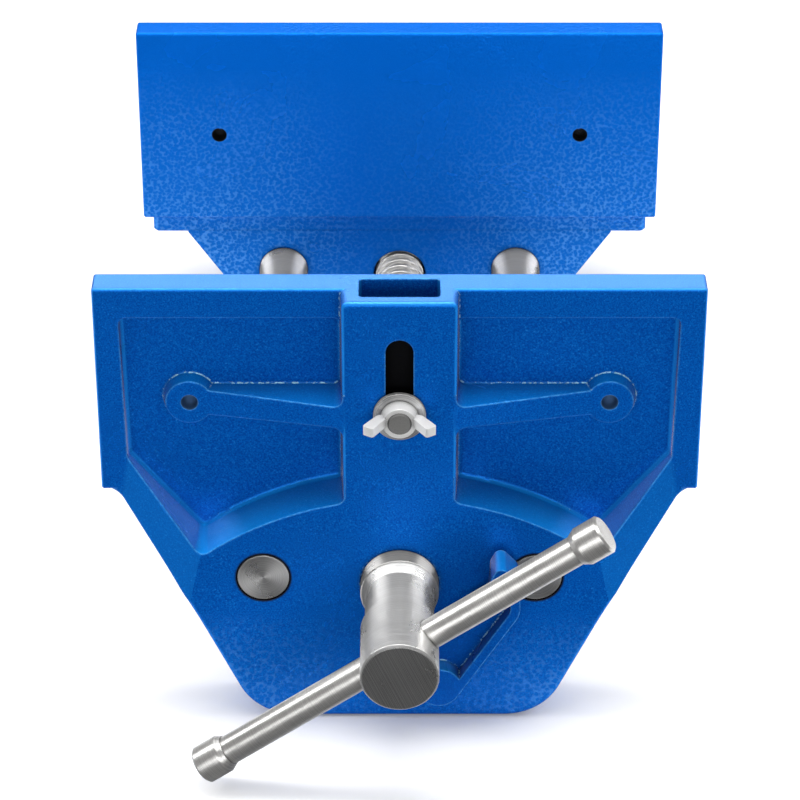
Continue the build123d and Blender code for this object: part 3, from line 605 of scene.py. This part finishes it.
# %% Enamel
PAINT_ROUGH, SMUDGE_ROUGH, BARE_ROUGH = 0.25, 0.03, 0.4  # each adds to the one before
PAINT_EDGE = 1.3 * MM  # radius of a painted edge


def bores(tree, place, pair):
    """The mask of a pair of bores, given as (across, up, radius)."""
    across, up, radius = pair
    inputs = {"Vector": place, "Across": across, "Up": up, "Radius": radius}
    return use(tree, bare_bores, inputs)["Mask"]


def enamel(name, shape, relief, wear_and_light, below, shade_gap, gloss, flake, **looks):
    """Blue enamel over cast iron.

    shape holds the values of the hammered enamel, relief its height, wear_and_light how pale edges
    (from wear and a painted highlight) and the painted glints are, below the share of it on edges
    that look down, and shade_gap a pair of bores painted black as shade. looks are the rest of what
    lit_paint asks for.
    """
    material, tree, bsdf, place = finish(name)
    coat = use(tree, hammered_enamel, {"Vector": place, **shape})
    inputs = {"Vector": place, "Radius": PAINT_EDGE, "Break Up": 0.7, "Below": below}
    edge = use(tree, edge_wear_and_light, inputs)
    smudge = use(tree, handling, {"Vector": place, "Size": 50 * MM})["Smudge"]
    colour = lit_paint(tree, place, coat=coat, smudge=smudge, **looks)
    colour = wear_shade_and_glints(tree, colour, coat, edge, wear_and_light)
    bare = bores(tree, place, cheek_bores)
    colour = blend(tree, bare, colour, (*DRILLED, 1))
    # painted shade: the bars' gap rings and the rear cheek holes are painted black
    colour = blend(tree, bores(tree, place, shade_gap), colour, (*GAP_SHADE_BLACK, 1))
    across, up = spigot_bores[:2]
    cards = use(tree, studio_cards, {"Vector": place, "Across": across, "Up": up})["Tone"]
    mirrored = node(tree, "LightPath").outputs["Is Glossy Ray"]
    colour = blend(tree, mirrored, colour, grey(tree, cards))
    rough = maths(tree, "MULTIPLY_ADD", smudge, SMUDGE_ROUGH, PAINT_ROUGH)
    rough = maths(tree, "MULTIPLY_ADD", bare, BARE_ROUGH, rough)
    bump = bumped(tree, coat["Height"], relief, edge["Normal"])
    feed(tree, bsdf, {"Base Color": colour, "Roughness": rough, "Metallic": flake})
    feed(tree, bsdf, {"Normal": bump, "Specular IOR Level": gloss})
    return material


cheek_screws = next(m for m in record["mounts"] if m["name"] == "rear_cheek_screws")
hole_across = cheek_screws["dims"]["spacing_x_mm"] / 2 * MM
cheek_bores = (hole_across, cheek_screws["pos_m"][2], cheek_screws["dims"]["hole_r_mm"] * MM)
spigot_low, spigot_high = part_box("guide_bar_left")
spigot_bores = ((spigot_low.x + spigot_high.x) / -2, (spigot_low.z + spigot_high.z) / 2, 11.7 * MM)
print("bare bores at", cheek_bores, "and", spigot_bores)

# %% [markdown]
# ### Three coats of one paint
#
# The rear jaw is smooth, so its dimples are deep and its ridges carry a strong painted sheen. The
# front jaw is sand cast: small dimples, much grain, many pale flecks and painted sparkles, and
# edges paler for wear and a painted highlight. The lever and the end bracket are small castings
# with coarser dimples, more painted light on slants and no painted sheen. *shade_gap* names the
# bores
# that are painted black as shade: the cheek holes at the rear, the rings round the bars' ends in
# the front jaw.

# %% The three enamels
materials = {
    "enamel_rear": enamel(
        "Enamel_rear",
        shape={"Cell": 1.6 * MM, "Dimples": 1.0, "Peel": 0.35, "Grain": 0.05},
        relief=0.24 * MM, wear_and_light=0.1, below=0.3, shade_gap=cheek_bores, gloss=0.03, flake=0.3,
        blue=CLEAR_BLUE, speck=0.10, net=0.9, sheen=(80 * MM, -40 * MM), slants=0.2, tops=0.0,
    ),
    "enamel_front": enamel(
        "Enamel_front",
        shape={"Cell": 1.8 * MM, "Dimples": 0.3, "Peel": 0.45, "Grain": 0.6},
        relief=0.16 * MM, wear_and_light=0.85, below=0.3, shade_gap=spigot_bores, gloss=0.06, flake=0.4,
        blue=DEEP_BLUE, speck=0.40, net=0.6, sheen=(-50 * MM, -95 * MM), slants=0.62, tops=0.32,
    ),
    "enamel_lever": enamel(
        "Enamel_lever",
        shape={"Cell": 2.2 * MM, "Dimples": 0.3, "Peel": 0.40, "Grain": 0.35},
        relief=0.14 * MM, wear_and_light=0.7, below=1.0, shade_gap=cheek_bores, gloss=0.10, flake=0.4,
        blue=DEEP_BLUE, speck=0.20, net=0.0, sheen=(60 * MM, -20 * MM), slants=0.5, tops=0.25,
    ),
}
print(len(materials), "enamels")

# %% [markdown]
# ## Turned steel
#
# The guide bars, the screw's head and the tommy bar are turned steel, bright and satin with fine
# rings. Stretched highlights could come from anisotropy, but the rings themselves, as bump and as
# a change of tone, give them too. A Mapping node brings each piece's axis onto z, where the shared
# group expects it. The hub's front end was sawn off and only deburred, so it shows straight marks;
# the other ends are faced.

# %% Turned steel
LIGHTER, DARKER = 1.15, 0.80  # tone of the crests and the grooves of the rings
RING_TONES = (0.35, 0.65)  # levels of the rings' noise between a groove and a crest
EDGE_STEEL = (0.92, 0.92, 0.91)
# painted shade: the colour laid into hollows
HOLLOW_SHADE_STEEL = (0.02, 0.02, 0.02)
SAW_LINES = 1500.0  # waves of the saw's marks to the metre
SAW_LEAN = 2.2  # the saw's marks lean by this share
SAWN_TONES, FACED_TONES, FAN_LIGHT = (0.20, 0.56), (0.24, 0.46), 0.40
DULL_WHEN_MIRRORED = 0.6  # least roughness for steel seen in other steel, against fireflies


def axis_coordinates(tree, place, centre, direction):
    """Object coordinates moved to a piece's centre and turned so that its axis is z."""
    turn = Vector(direction).rotation_difference(Vector((0, 0, 1))).to_euler()
    moved = node(tree, "VectorMath", {0: place, 1: tuple(centre)}, operation="SUBTRACT").outputs[0]
    return node(tree, "Mapping", {"Vector": moved, "Rotation": tuple(turn)}).outputs[0]


def end_face(tree, along, marks, height, side, end):
    """Colour and height with the front end's marks, where z is past the end's distance.

    end is (distance, kind): "faced" shows rings and the fan of light that they throw, "sawn"
    shows straight marks. Both are darker than the side.
    """
    cut_at, kind = end
    x, y, z = split(tree, along)
    shade = ramp(tree, z, cut_at - 0.3 * MM, cut_at)
    if kind == "sawn":
        lines = product(tree, maths(tree, "MULTIPLY_ADD", x, SAW_LEAN, y), SAW_LINES)
        sawn = stripes(tree, lines, 4.0)
        height = node(tree, "Mix", {0: shade, 2: height, 3: sawn}).outputs[0]
        tone = ramp(tree, sawn, 0.3, 0.7, *SAWN_TONES)
    else:
        rings = ramp(tree, marks["Tone"], *RING_TONES, *FACED_TONES)
        tone = maths(tree, "MULTIPLY_ADD", marks["Fan"], FAN_LIGHT, rings)
    return blend(tree, shade, side, grey(tree, tone)), height


print("axes and end faces ready")

# %% [markdown]
# ### The steel material
#
# Rings tint the steel between a lighter and a darker tone and roughen its normal, edges are made
# brighter for polish and a painted highlight, and gaps are darkened with painted shade. The metal
# is not quite 1, because pure metal turns black wherever it mirrors nothing bright.

# %% Steel material
METAL = 0.9
# how strongly edges get polish with painted highlight, and hollows painted shade
EDGE_POLISH_AND_LIGHT, HOLLOW_SHADING = 0.6, 0.8


def turned_steel(name, centre, direction, colour, roughness, pitch, depth, end=None):
    """Satin steel turned round an axis, with rings a pitch apart and, where given, an end face."""
    material, tree, bsdf, place = finish(name)
    along = axis_coordinates(tree, place, centre, direction)
    marks = use(tree, turned_marks, {"Vector": along, "Pitch": pitch})
    edge = use(tree, edge_wear_and_light, {"Vector": place, "Radius": 0.5 * MM, "Break Up": 0.2})
    smudge = use(tree, handling, {"Vector": place, "Size": 18 * MM})["Smudge"]
    crest = (*(min(1.0, LIGHTER * c) for c in colour), 1)
    groove = (*(DARKER * c for c in colour), 1)
    base = blend(tree, ramp(tree, marks["Tone"], *RING_TONES), groove, crest)
    height = marks["Height"]
    if end is not None:
        base, height = end_face(tree, along, marks, height, base, end)
    # polish and painted highlight: edges are brighter
    base = cover(tree, base, edge["Mask"], EDGE_POLISH_AND_LIGHT, EDGE_STEEL)
    hollow = use(tree, crevices, {"Reach": 1.5 * MM})["Mask"]
    # painted shade: hollows are darkened
    base = cover(tree, base, hollow, HOLLOW_SHADING, HOLLOW_SHADE_STEEL)
    mirrored = product(tree, node(tree, "LightPath").outputs["Is Glossy Ray"], DULL_WHEN_MIRRORED)
    rough = maths(tree, "MAXIMUM", maths(tree, "MULTIPLY_ADD", smudge, 0.08, roughness), mirrored)
    bump = bumped(tree, height, depth, edge["Normal"])
    feed(tree, bsdf, {"Base Color": base, "Roughness": rough, "Metallic": METAL, "Normal": bump})
    return material


print("turned steel ready")

# %% [markdown]
# ## Plated, blackened and bare metals
#
# The wing nut is nickel plated, washers and nuts are zinc plated, the dog is blackened, and the
# half nut and the cam are bare castings. They differ in colour, gloss and grain only, so one
# function makes them all: an even grain, smudges, edges lighter for wear and a painted highlight,
# and hollows darkened with painted shade.

# %% Plain metals
SHADE = 0.08  # a hollow keeps this share of the metal's colour


def plain_metal(name, colour, roughness, size, depth, metallic=0.6, edge_light=0.5, gloss=0.5):
    """Plated, blackened or cast metal: grain, smudges, lighter edges, painted shade in hollows."""
    material, tree, bsdf, place = finish(name)
    edge = use(tree, edge_wear_and_light, {"Vector": place, "Radius": 0.4 * MM, "Break Up": 0.4})
    smudge = use(tree, handling, {"Vector": place, "Size": 12 * MM})["Smudge"]
    grain = noise(tree, place, 1 / size, 3.0)
    light = tuple(min(1.0, 1.5 * c + 0.002) for c in colour)
    base = blend(tree, ramp(tree, grain, 0.3, 0.7, 0.0, 0.3), (*colour, 1), (*light, 1))
    # wear and painted highlight: edges are lighter
    base = cover(tree, base, edge["Mask"], edge_light, light)
    hollow = use(tree, crevices, {"Reach": 3.0 * MM})["Mask"]
    # painted shade: hollows keep only SHADE of the colour
    base = cover(tree, base, hollow, 0.85, [SHADE * c for c in colour])
    rough = maths(tree, "MULTIPLY_ADD", smudge, 0.1, roughness)
    bump = bumped(tree, grain, depth, edge["Normal"])
    feed(tree, bsdf, {"Base Color": base, "Roughness": rough, "Metallic": metallic})
    feed(tree, bsdf, {"Normal": bump, "Specular IOR Level": gloss})
    return material


# colour, roughness, size and depth of the grain, and where they differ metallic, edges and gloss
plain_metals = {
    "black_steel": ((0.0008, 0.001, 0.002), 0.60, 0.8 * MM, 0.02 * MM, 0.0, 0.1, 0.1),
    "nickel_plate": ((0.90, 0.90, 0.89), 0.34, 0.9 * MM, 0.04 * MM),
    "rolled_steel": ((0.20, 0.20, 0.195), 0.50, 0.6 * MM, 0.16 * MM),
    "zinc_plate": ((0.58, 0.59, 0.60), 0.34, 0.9 * MM, 0.02 * MM),
    "nut_iron": ((0.11, 0.11, 0.115), 0.58, 1.4 * MM, 0.12 * MM, 0.8, 0.4),
    "spring_steel": ((0.30, 0.30, 0.32), 0.30, 0.6 * MM, 0.01 * MM),
}
for key, values in plain_metals.items():
    materials[key] = plain_metal(key.capitalize(), *values)
print(len(plain_metals), "plain metals")

# %% [markdown]
# ## Pieces in the scene
#
# Each visible piece is a mesh object at the origin that stands for one CAD node: it rides on that
# node's body, so that it moves with it, and the CAD node itself is hidden. The three helpers below
# say so in one place.


# %% Piece helpers
CREASE = 30.0  # degrees between two faces, from which their edge stays sharp


def middle(name):
    """Centre of a CAD node's box."""
    low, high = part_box(name)
    return (low + high) / 2


def settle(piece, name):
    """Makes a finished piece stand for its CAD node, which is hidden, and ride on its body."""
    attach(piece, bodies[name])
    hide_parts(name)


def new_piece(name, points, faces, material, crease=CREASE):
    """A mesh object at the origin, shaded smooth up to the crease's angle in degrees."""
    mesh = bpy.data.meshes.new(name)
    mesh.from_pydata(points.tolist(), [], faces)
    mesh.validate()
    mesh.materials.append(material)
    mesh.shade_smooth()
    mesh.set_sharp_from_angle(angle=math.radians(crease))
    piece = bpy.data.objects.new(name, mesh)
    bpy.context.scene.collection.objects.link(piece)
    return piece


print("the vise's front jaw is centred on", *middle("front_jaw"))

# %% [markdown]
# ## Pieces taken from the solids
#
# A CAD mesh is a bag of loose triangles, and shading it smooth does nothing. A Weld modifier could
# join them, but reading the points as one array and keeping each place once is exact and quick.
# The merged copy is shaded smooth, with a crease only where two faces meet at a real edge, and
# weighted normals keep the large flat faces flat beside their small rounds.

# %% Smooth copies
GRID = 1e7  # points are the same where they agree to 0.1 micrometre


def merged(mesh):
    """Points and triangles of a mesh, with points in the same place made one."""
    points = np.zeros(len(mesh.vertices) * 3)
    mesh.vertices.foreach_get("co", points)
    points = points.reshape(-1, 3)
    rounded = np.round(points * GRID).astype(np.int64)
    first, number = np.unique(rounded, axis=0, return_index=True, return_inverse=True)[1:]
    corners = np.zeros(len(mesh.loops), np.int64)
    mesh.loops.foreach_get("vertex_index", corners)
    triangles = number.reshape(-1)[corners].reshape(-1, 3)
    a, b, c = triangles.T
    return points[first], triangles[(a != b) & (b != c) & (a != c)].tolist()


def smooth_copy(name, material, crease=CREASE):
    """A merged copy of a CAD node, shaded smooth between creases."""
    piece = new_piece(name + "_looks", *merged(nodes[name].data), material, crease)
    weighted = piece.modifiers.new("Flat_faces", "WEIGHTED_NORMAL")
    weighted.keep_sharp = True
    weighted.weight = 60
    settle(piece, name)


finishes = {
    "enamel_rear": ["rear_jaw"],
    "enamel_front": ["front_jaw"],
    "enamel_lever": ["release_lever", "end_bracket"],
    "nut_iron": ["half_nut", "release_cam"],
    "black_steel": ["dog"],
    "nickel_plate": ["wing_nut"],
    "rolled_steel": ["dog_stud"],
    "zinc_plate": [
        "tie_washers", "tie_nuts", "collar_pin", "lever_pin", "spring_collar", "pin_clip",
    ],
    "spring_steel": ["screw_clip", "release_clip"],
}
for key, names in finishes.items():
    for name in names:
        smooth_copy(name, materials[key])
print(sum(len(names) for names in finishes.values()), "smooth copies")

# %% [markdown]
# ## Turned pieces with their own lathe marks
#
# The bars, the screw's head, its thrust washer and the tommy bar are each turned about an axis of
# their own. One shared material would ring all of them about a single axis, so each gets its own
# finish, centred on its box. The hub is creased at a smaller angle than the rest, because its neck
# meets the head at a shallow angle that has to show as a line.

# %% Steel pieces
STEEL = (0.80, 0.79, 0.77)
BRIGHT_STEEL = (0.90, 0.895, 0.88)
FORWARD = (0, -1, 0)
along_handle = middle("handle_knob_right") - middle("handle_knob_left")


def front_end(name, kind):
    """How a piece's front end was cut, and its distance from the middle, less a tenth."""
    low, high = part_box(name)
    return (high.y - low.y) / 2 - 0.1 * MM, kind


spigot_end = front_end("guide_bar_left", "faced")
hub_end = front_end("screw_hub", "sawn")
# axis, colour, roughness, pitch and depth of the rings, and the end that shows
turned_pieces = {
    "guide_bar_left": (FORWARD, BRIGHT_STEEL, 0.26, 0.30 * MM, 0.08 * MM, spigot_end),
    "guide_bar_right": (FORWARD, BRIGHT_STEEL, 0.26, 0.30 * MM, 0.08 * MM, spigot_end),
    "dog_washer": (FORWARD, STEEL, 0.36, 0.40 * MM, 0.06 * MM, front_end("dog_washer", "faced")),
    "thrust_washer": (FORWARD, STEEL, 0.26, 0.40 * MM, 0.08 * MM),
    "screw_collar": (FORWARD, STEEL, 0.34, 0.40 * MM, 0.06 * MM),
    "release_bar": (FORWARD, STEEL, 0.34, 0.40 * MM, 0.06 * MM),
    "half_nut_pin": (FORWARD, STEEL, 0.32, 0.40 * MM, 0.06 * MM),
    "tommy_bar": (along_handle, STEEL, 0.28, 0.30 * MM, 0.06 * MM),
    "handle_knob_left": (along_handle, STEEL, 0.28, 0.30 * MM, 0.06 * MM),
    "handle_knob_right": (along_handle, STEEL, 0.28, 0.30 * MM, 0.06 * MM),
    "screw_hub": (FORWARD, BRIGHT_STEEL, 0.26, 0.30 * MM, 0.08 * MM, hub_end),
}
creases = {"screw_hub": 14.0}
for name, values in turned_pieces.items():
    steel = turned_steel("Steel_" + name, middle(name), *values)
    smooth_copy(name, steel, creases.get(name, CREASE))
print(len(turned_pieces), "turned pieces")

# %% [markdown]
# ## The screw's thread
#
# The CAD screw is a plain shank at the thread's outside diameter. The real one is cut with a
# trapezoid thread from behind the front jaw to just before the end bracket. A Screw modifier on a
# profile could wind it, but its ends would stay open and would not run out. The surface below is a
# grid round the screw: each row is a ring, and a point's radius falls by the thread's depth where
# its phase along the helix lies in the groove.


# %% Round grids
def tube_faces(rows, sides):
    """Quads between neighbouring rings, where ring k holds the points from k times sides on."""
    start = np.arange(rows - 1)[:, None] * sides
    column = np.arange(sides)[None, :]
    after = (column + 1) % sides
    quads = [start + column, start + after, start + sides + after, start + sides + column]
    return np.stack(quads, axis=-1).reshape(-1, 4).tolist()


def ring_grid(radii, heights):
    """Points and faces of a closed surface about z.

    A point of row k and side s is (r cos a, r sin a, heights[k]), where r is radii[k, s] and a is
    s full turns over the number of sides. A fan closes each end with a point on the axis.
    """
    rows, sides = radii.shape
    angle = 2 * math.pi * np.arange(sides) / sides
    level = np.repeat(heights[:, None], sides, axis=1)
    points = np.stack([radii * np.cos(angle), radii * np.sin(angle), level], axis=-1).reshape(-1, 3)
    poles = np.array([[0, 0, heights[0]], [0, 0, heights[-1]]])
    side = np.arange(sides)
    following = (side + 1) % sides
    pole, last = np.full(sides, rows * sides), (rows - 1) * sides
    start_fan = np.stack([pole, following, side], axis=-1).tolist()
    end_fan = np.stack([pole + 1, last + side, last + following], axis=-1).tolist()
    return np.concatenate([points, poles]), tube_faces(rows, sides) + start_fan + end_fan


def stand_along(points, origin, direction):
    """Moves points made about z onto an axis through origin."""
    turn = Vector((0, 0, 1)).rotation_difference(Vector(direction)).to_matrix()
    return points @ np.array(turn).T + np.array(origin)


sample = ring_grid(np.ones((2, 48)), np.array([0.0, 1.0]))
print("two rings of 48 points make", len(sample[1]), "faces")

# %% [markdown]
# ### Cutting the thread
#
# The thread has a lead of 6 mm, as the coupling of the screw and the slide says, and flanks that
# slope. Fourteen rows to a turn keep its crests crisp. The groove fades in and out over one turn at
# both ends, as it does where the cutter is drawn back.

# %% Thread
THREAD_LEAD = 6.0 * MM
THREAD_DEPTH = 2.4 * MM
CREST, FLANK = 0.40, 0.26  # shares of half a lead
THREAD_SIDES, ROWS_PER_TURN = 48, 14


def thread_form(phase):
    """Depth of a trapezoid thread, 0 on the crest and 1 in the root, for a phase in leads."""
    from_crest = 2 * np.abs((phase + 0.5) % 1 - 0.5)
    return np.clip((from_crest - CREST) / FLANK, 0, 1)


def threaded_rod(name, node_name, stations, cut_from, cut_to, material):
    """A round bar along y with a thread from cut_from to cut_to.

    stations lists the (y, radius) corners of the plain bar, none of them inside the cut. The
    phase of a point is y over the lead, less its angle in turns.
    """
    corner_y, corner_r = np.array(stations).T
    before, behind = corner_y <= cut_from, corner_y >= cut_to
    fine = np.arange(cut_from, cut_to, THREAD_LEAD / ROWS_PER_TURN)
    heights = np.concatenate([corner_y[before], fine, corner_y[behind]])
    cut_radius = np.full(len(fine), corner_r[before][-1])
    plain = np.concatenate([corner_r[before], cut_radius, corner_r[behind]])
    phase = heights[:, None] / THREAD_LEAD - np.arange(THREAD_SIDES)[None, :] / THREAD_SIDES
    run_in = np.clip((heights - cut_from) / THREAD_LEAD, 0, 1)
    run_out = np.clip((cut_to - heights) / THREAD_LEAD, 0, 1)
    radii = plain[:, None] - THREAD_DEPTH * (run_in * run_out)[:, None] * thread_form(phase)
    points, faces = ring_grid(radii, heights - heights[0])
    centre = middle(node_name)
    points = stand_along(points, (centre.x, heights[0], centre.z), (0, 1, 0))
    settle(new_piece(name, points, faces, material, crease=38.0), node_name)


screw_low, screw_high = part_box("main_screw")
shank = (screw_high.x - screw_low.x) / 2
spigot, tail = 9.0 * MM, 8.0 * MM  # radii in the hub and in the end bracket
step = 0.01 * MM  # between the two rings of a shoulder
shank_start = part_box("screw_hub")[1].y
shank_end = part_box("end_bracket")[0].y - 0.3 * MM
collar_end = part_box("screw_collar")[1].y
screw_steel = turned_steel(
    "Steel_main_screw", middle("main_screw"), FORWARD, STEEL, 0.30, 0.5 * MM, 0.03 * MM
)
corners = [
    (screw_low.y, spigot),
    (shank_start - step, spigot),
    (shank_start, shank),
    (shank_end - 2 * MM, shank),
    (shank_end, shank),
    (shank_end + step, tail),
    (screw_high.y, tail),
]
cut_from, cut_to = collar_end + 4 * MM, shank_end - 6 * MM
threaded_rod("main_screw_looks", "main_screw", corners, cut_from, cut_to, screw_steel)
print("thread of", round((cut_to - cut_from) / THREAD_LEAD), "turns")

# %% [markdown]
# ## The lever's return spring
#
# A torsion spring round the release bar brings the lever back. In the CAD model it is the sleeve
# that its coils fill. A curve with a bevel could be the wire, and would have to be made a mesh
# before it is placed. Here a circle is carried along a helix directly: at each step it stands on
# the outward direction and on the direction square to that and to the wire.

# %% Spring
WIRE = 0.9 * MM  # radius
WIRE_SIDES, STEPS_PER_TURN = 16, 40


def coil_spring(name, node_name, turns, material):
    """A round wire along a helix about y that fills the CAD sleeve's box.

    A point is the helix, plus the wire's radius times (cos b outward + sin b upward), where b
    runs round the wire.
    """
    low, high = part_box(node_name)
    helix_radius = (high.x - low.x) / 2 - WIRE
    steps = turns * STEPS_PER_TURN
    turn = np.linspace(0, 2 * math.pi * turns, steps + 1)
    rise = np.linspace(low.y + WIRE, high.y - WIRE, steps + 1)
    spine = np.stack([helix_radius * np.cos(turn), rise, helix_radius * np.sin(turn)], axis=-1)
    outward = np.stack([np.cos(turn), np.zeros_like(turn), np.sin(turn)], axis=-1)
    tangent = np.gradient(spine, axis=0)
    tangent /= np.linalg.norm(tangent, axis=1, keepdims=True)
    upward = np.cross(tangent, outward)
    round_wire = 2 * math.pi * np.arange(WIRE_SIDES) / WIRE_SIDES
    cosine = WIRE * np.cos(round_wire)[None, :, None]
    sine = WIRE * np.sin(round_wire)[None, :, None]
    points = spine[:, None, :] + cosine * outward[:, None, :] + sine * upward[:, None, :]
    points = points.reshape(-1, 3) + np.array((middle(node_name).x, 0, middle(node_name).z))
    first_end = list(range(WIRE_SIDES))[::-1]
    last_end = list(range(steps * WIRE_SIDES, (steps + 1) * WIRE_SIDES))
    faces = tube_faces(steps + 1, WIRE_SIDES) + [first_end, last_end]
    settle(new_piece(name, points, faces, material), node_name)


coil_spring("lever_spring_looks", "lever_spring", 4, materials["spring_steel"])
print("spring of 4 coils, wire", round(2 * WIRE / MM, 1), "mm")

# %% [markdown]
# ## Floor
#
# The photograph is a catalogue cut-out on white. A bright lamp could burn the floor out to white,
# but it would burn the object too. So the floor has a pale colour that keeps the object's shadow
# near by, and further off it glows for the camera alone, up to plain white. In reflections it is
# dark in front of the vise, so that upright paint stays deep, and light from the front jaw on, so
# that the bars between the jaws keep a pale underside.

# %% Floor
FLOOR_SIZE = 6.0
FLOOR_GAP = 0.5 * MM
PALE, MIRRORED_NEAR, MIRRORED_FAR = 0.92, 0.05, 0.75
GLOW_FROM, GLOW_TO = 0.34, 0.66  # metres from the middle
floor_height = size_at_start[0].z - FLOOR_GAP


def make_floor():
    """A large pale square just below the vise."""
    half = FLOOR_SIZE / 2
    corners = np.array([[-half, -half, 0], [half, -half, 0], [half, half, 0], [-half, half, 0]])
    corners += np.array([0, 0, floor_height])
    material, tree, bsdf, place = finish("Pale_floor")
    path = node(tree, "LightPath").outputs
    front = size_at_start[0].y
    shade = ramp(tree, split(tree, place)[1], front + 5 * MM, front + 55 * MM)
    mirrored = blend(tree, shade, (*[MIRRORED_NEAR] * 3, 1), (*[MIRRORED_FAR] * 3, 1))
    colour = blend(tree, path["Is Glossy Ray"], (*[PALE] * 3, 1), mirrored)
    reach = node(tree, "VectorMath", {0: place}, operation="LENGTH").outputs["Value"]
    glow = product(tree, ramp(tree, reach, GLOW_FROM, GLOW_TO), path["Is Camera Ray"])
    feed(tree, bsdf, {"Base Color": colour, "Roughness": 1.0, "Specular IOR Level": 0.0})
    feed(tree, bsdf, {"Emission Color": grey(tree, glow), "Emission Strength": 1.0})
    new_piece("Floor", corners, [(0, 1, 2, 3)], material)


make_floor()
print("floor at", round(floor_height, 4))

# %% [markdown]
# ## World
#
# Round the floor everything is white to the camera. To the object the world is a dim grey room,
# dimmer still in reflections, so that the lamps alone draw its highlights.

# %% World
ROOM, MIRRORED_ROOM = 0.35, 0.16


def make_world():
    """White to the camera, ROOM to diffuse light and MIRRORED_ROOM to reflections."""
    world = bpy.data.worlds.new("Studio")
    bpy.context.scene.world = world
    world.use_nodes = True
    tree = world.node_tree
    tree.nodes.clear()
    path = node(tree, "LightPath").outputs
    around = ramp(tree, path["Is Glossy Ray"], 0.0, 1.0, ROOM, MIRRORED_ROOM)
    missing = maths(tree, "SUBTRACT", 1.0, around)
    strength = maths(tree, "MULTIPLY_ADD", path["Is Camera Ray"], missing, around)
    shader = node(tree, "Background", {"Color": (1, 1, 1, 1), "Strength": strength})
    tree.links.new(shader.outputs[0], node(tree, "OutputWorld").inputs[0])


make_world()
print("room at", ROOM)

# %% [markdown]
# ## Lights
#
# Five soft boxes light the vise, as in a product studio. A small one overhead shapes the castings.
# Two long strips high on the left and right draw the bright lines along bars and hub, and graze
# the paint. A low bar stands behind, just where the front jaw's top edge mirrors it to the camera
# and turns pale; over the rear jaw it is too high for that. A broad box far in front fills in.

# %% Lights
# place, the point that it faces, width, height and watts
LIGHTS = {
    "Overhead": ((0.0, -0.40, 1.15), (0, -0.25, 0), 0.5, 0.7, 4.0),
    "Over_left": ((-0.62, -0.20, 0.95), (0, -0.20, 0), 0.30, 1.5, 9.0),
    "Over_right": ((0.62, -0.20, 0.95), (0, -0.20, 0), 0.30, 1.5, 9.0),
    "Behind": ((0.0, 0.36, 0.50), (0, -0.33, 0.1), 0.9, 0.12, 2.3),
    "Front": ((0.0, -2.3, 0.45), (0, -0.2, 0.05), 2.4, 0.7, 17.0),
}


def softbox(name, place, target, width, height, power):
    """A rectangular area light that faces a point."""
    light = bpy.data.lights.new(name, "AREA")
    light.shape = "RECTANGLE"
    light.size, light.size_y = width, height
    light.energy = power
    lamp = bpy.data.objects.new(name, light)
    lamp.location = place
    lamp.rotation_euler = (Vector(target) - Vector(place)).to_track_quat("-Z", "Y").to_euler()
    bpy.context.scene.collection.objects.link(lamp)


for name, values in LIGHTS.items():
    softbox(name, *values)
print(len(LIGHTS), "soft boxes,", sum(values[-1] for values in LIGHTS.values()), "watts")

# %% [markdown]
# ## Camera
#
# The photograph is taken from straight in front, about 30 degrees above the vise, with a long lens.
# Its place, tilt and lens were solved from points on the jaws, the bars and the hub, so that the
# render falls on the photograph.

# %% Camera
CAMERA_PLACE = (0.0002, -1.4811, 0.7245)
CAMERA_TILT = 59.47  # degrees up from looking straight down
CAMERA_LENS, CAMERA_SENSOR = 143.46, 36.0


def make_camera():
    """The photograph's own viewpoint."""
    camera = bpy.data.objects.new("Camera", bpy.data.cameras.new("Camera"))
    camera.location = CAMERA_PLACE
    camera.rotation_euler = (math.radians(CAMERA_TILT), 0, 0)
    camera.data.lens = CAMERA_LENS
    camera.data.sensor_width = CAMERA_SENSOR
    camera.data.clip_start = 0.05
    bpy.context.scene.collection.objects.link(camera)
    bpy.context.scene.camera = camera


make_camera()
bpy.context.scene.view_settings.view_transform = "Standard"
print("camera", round(Vector(CAMERA_PLACE).length, 2), "m from the middle")
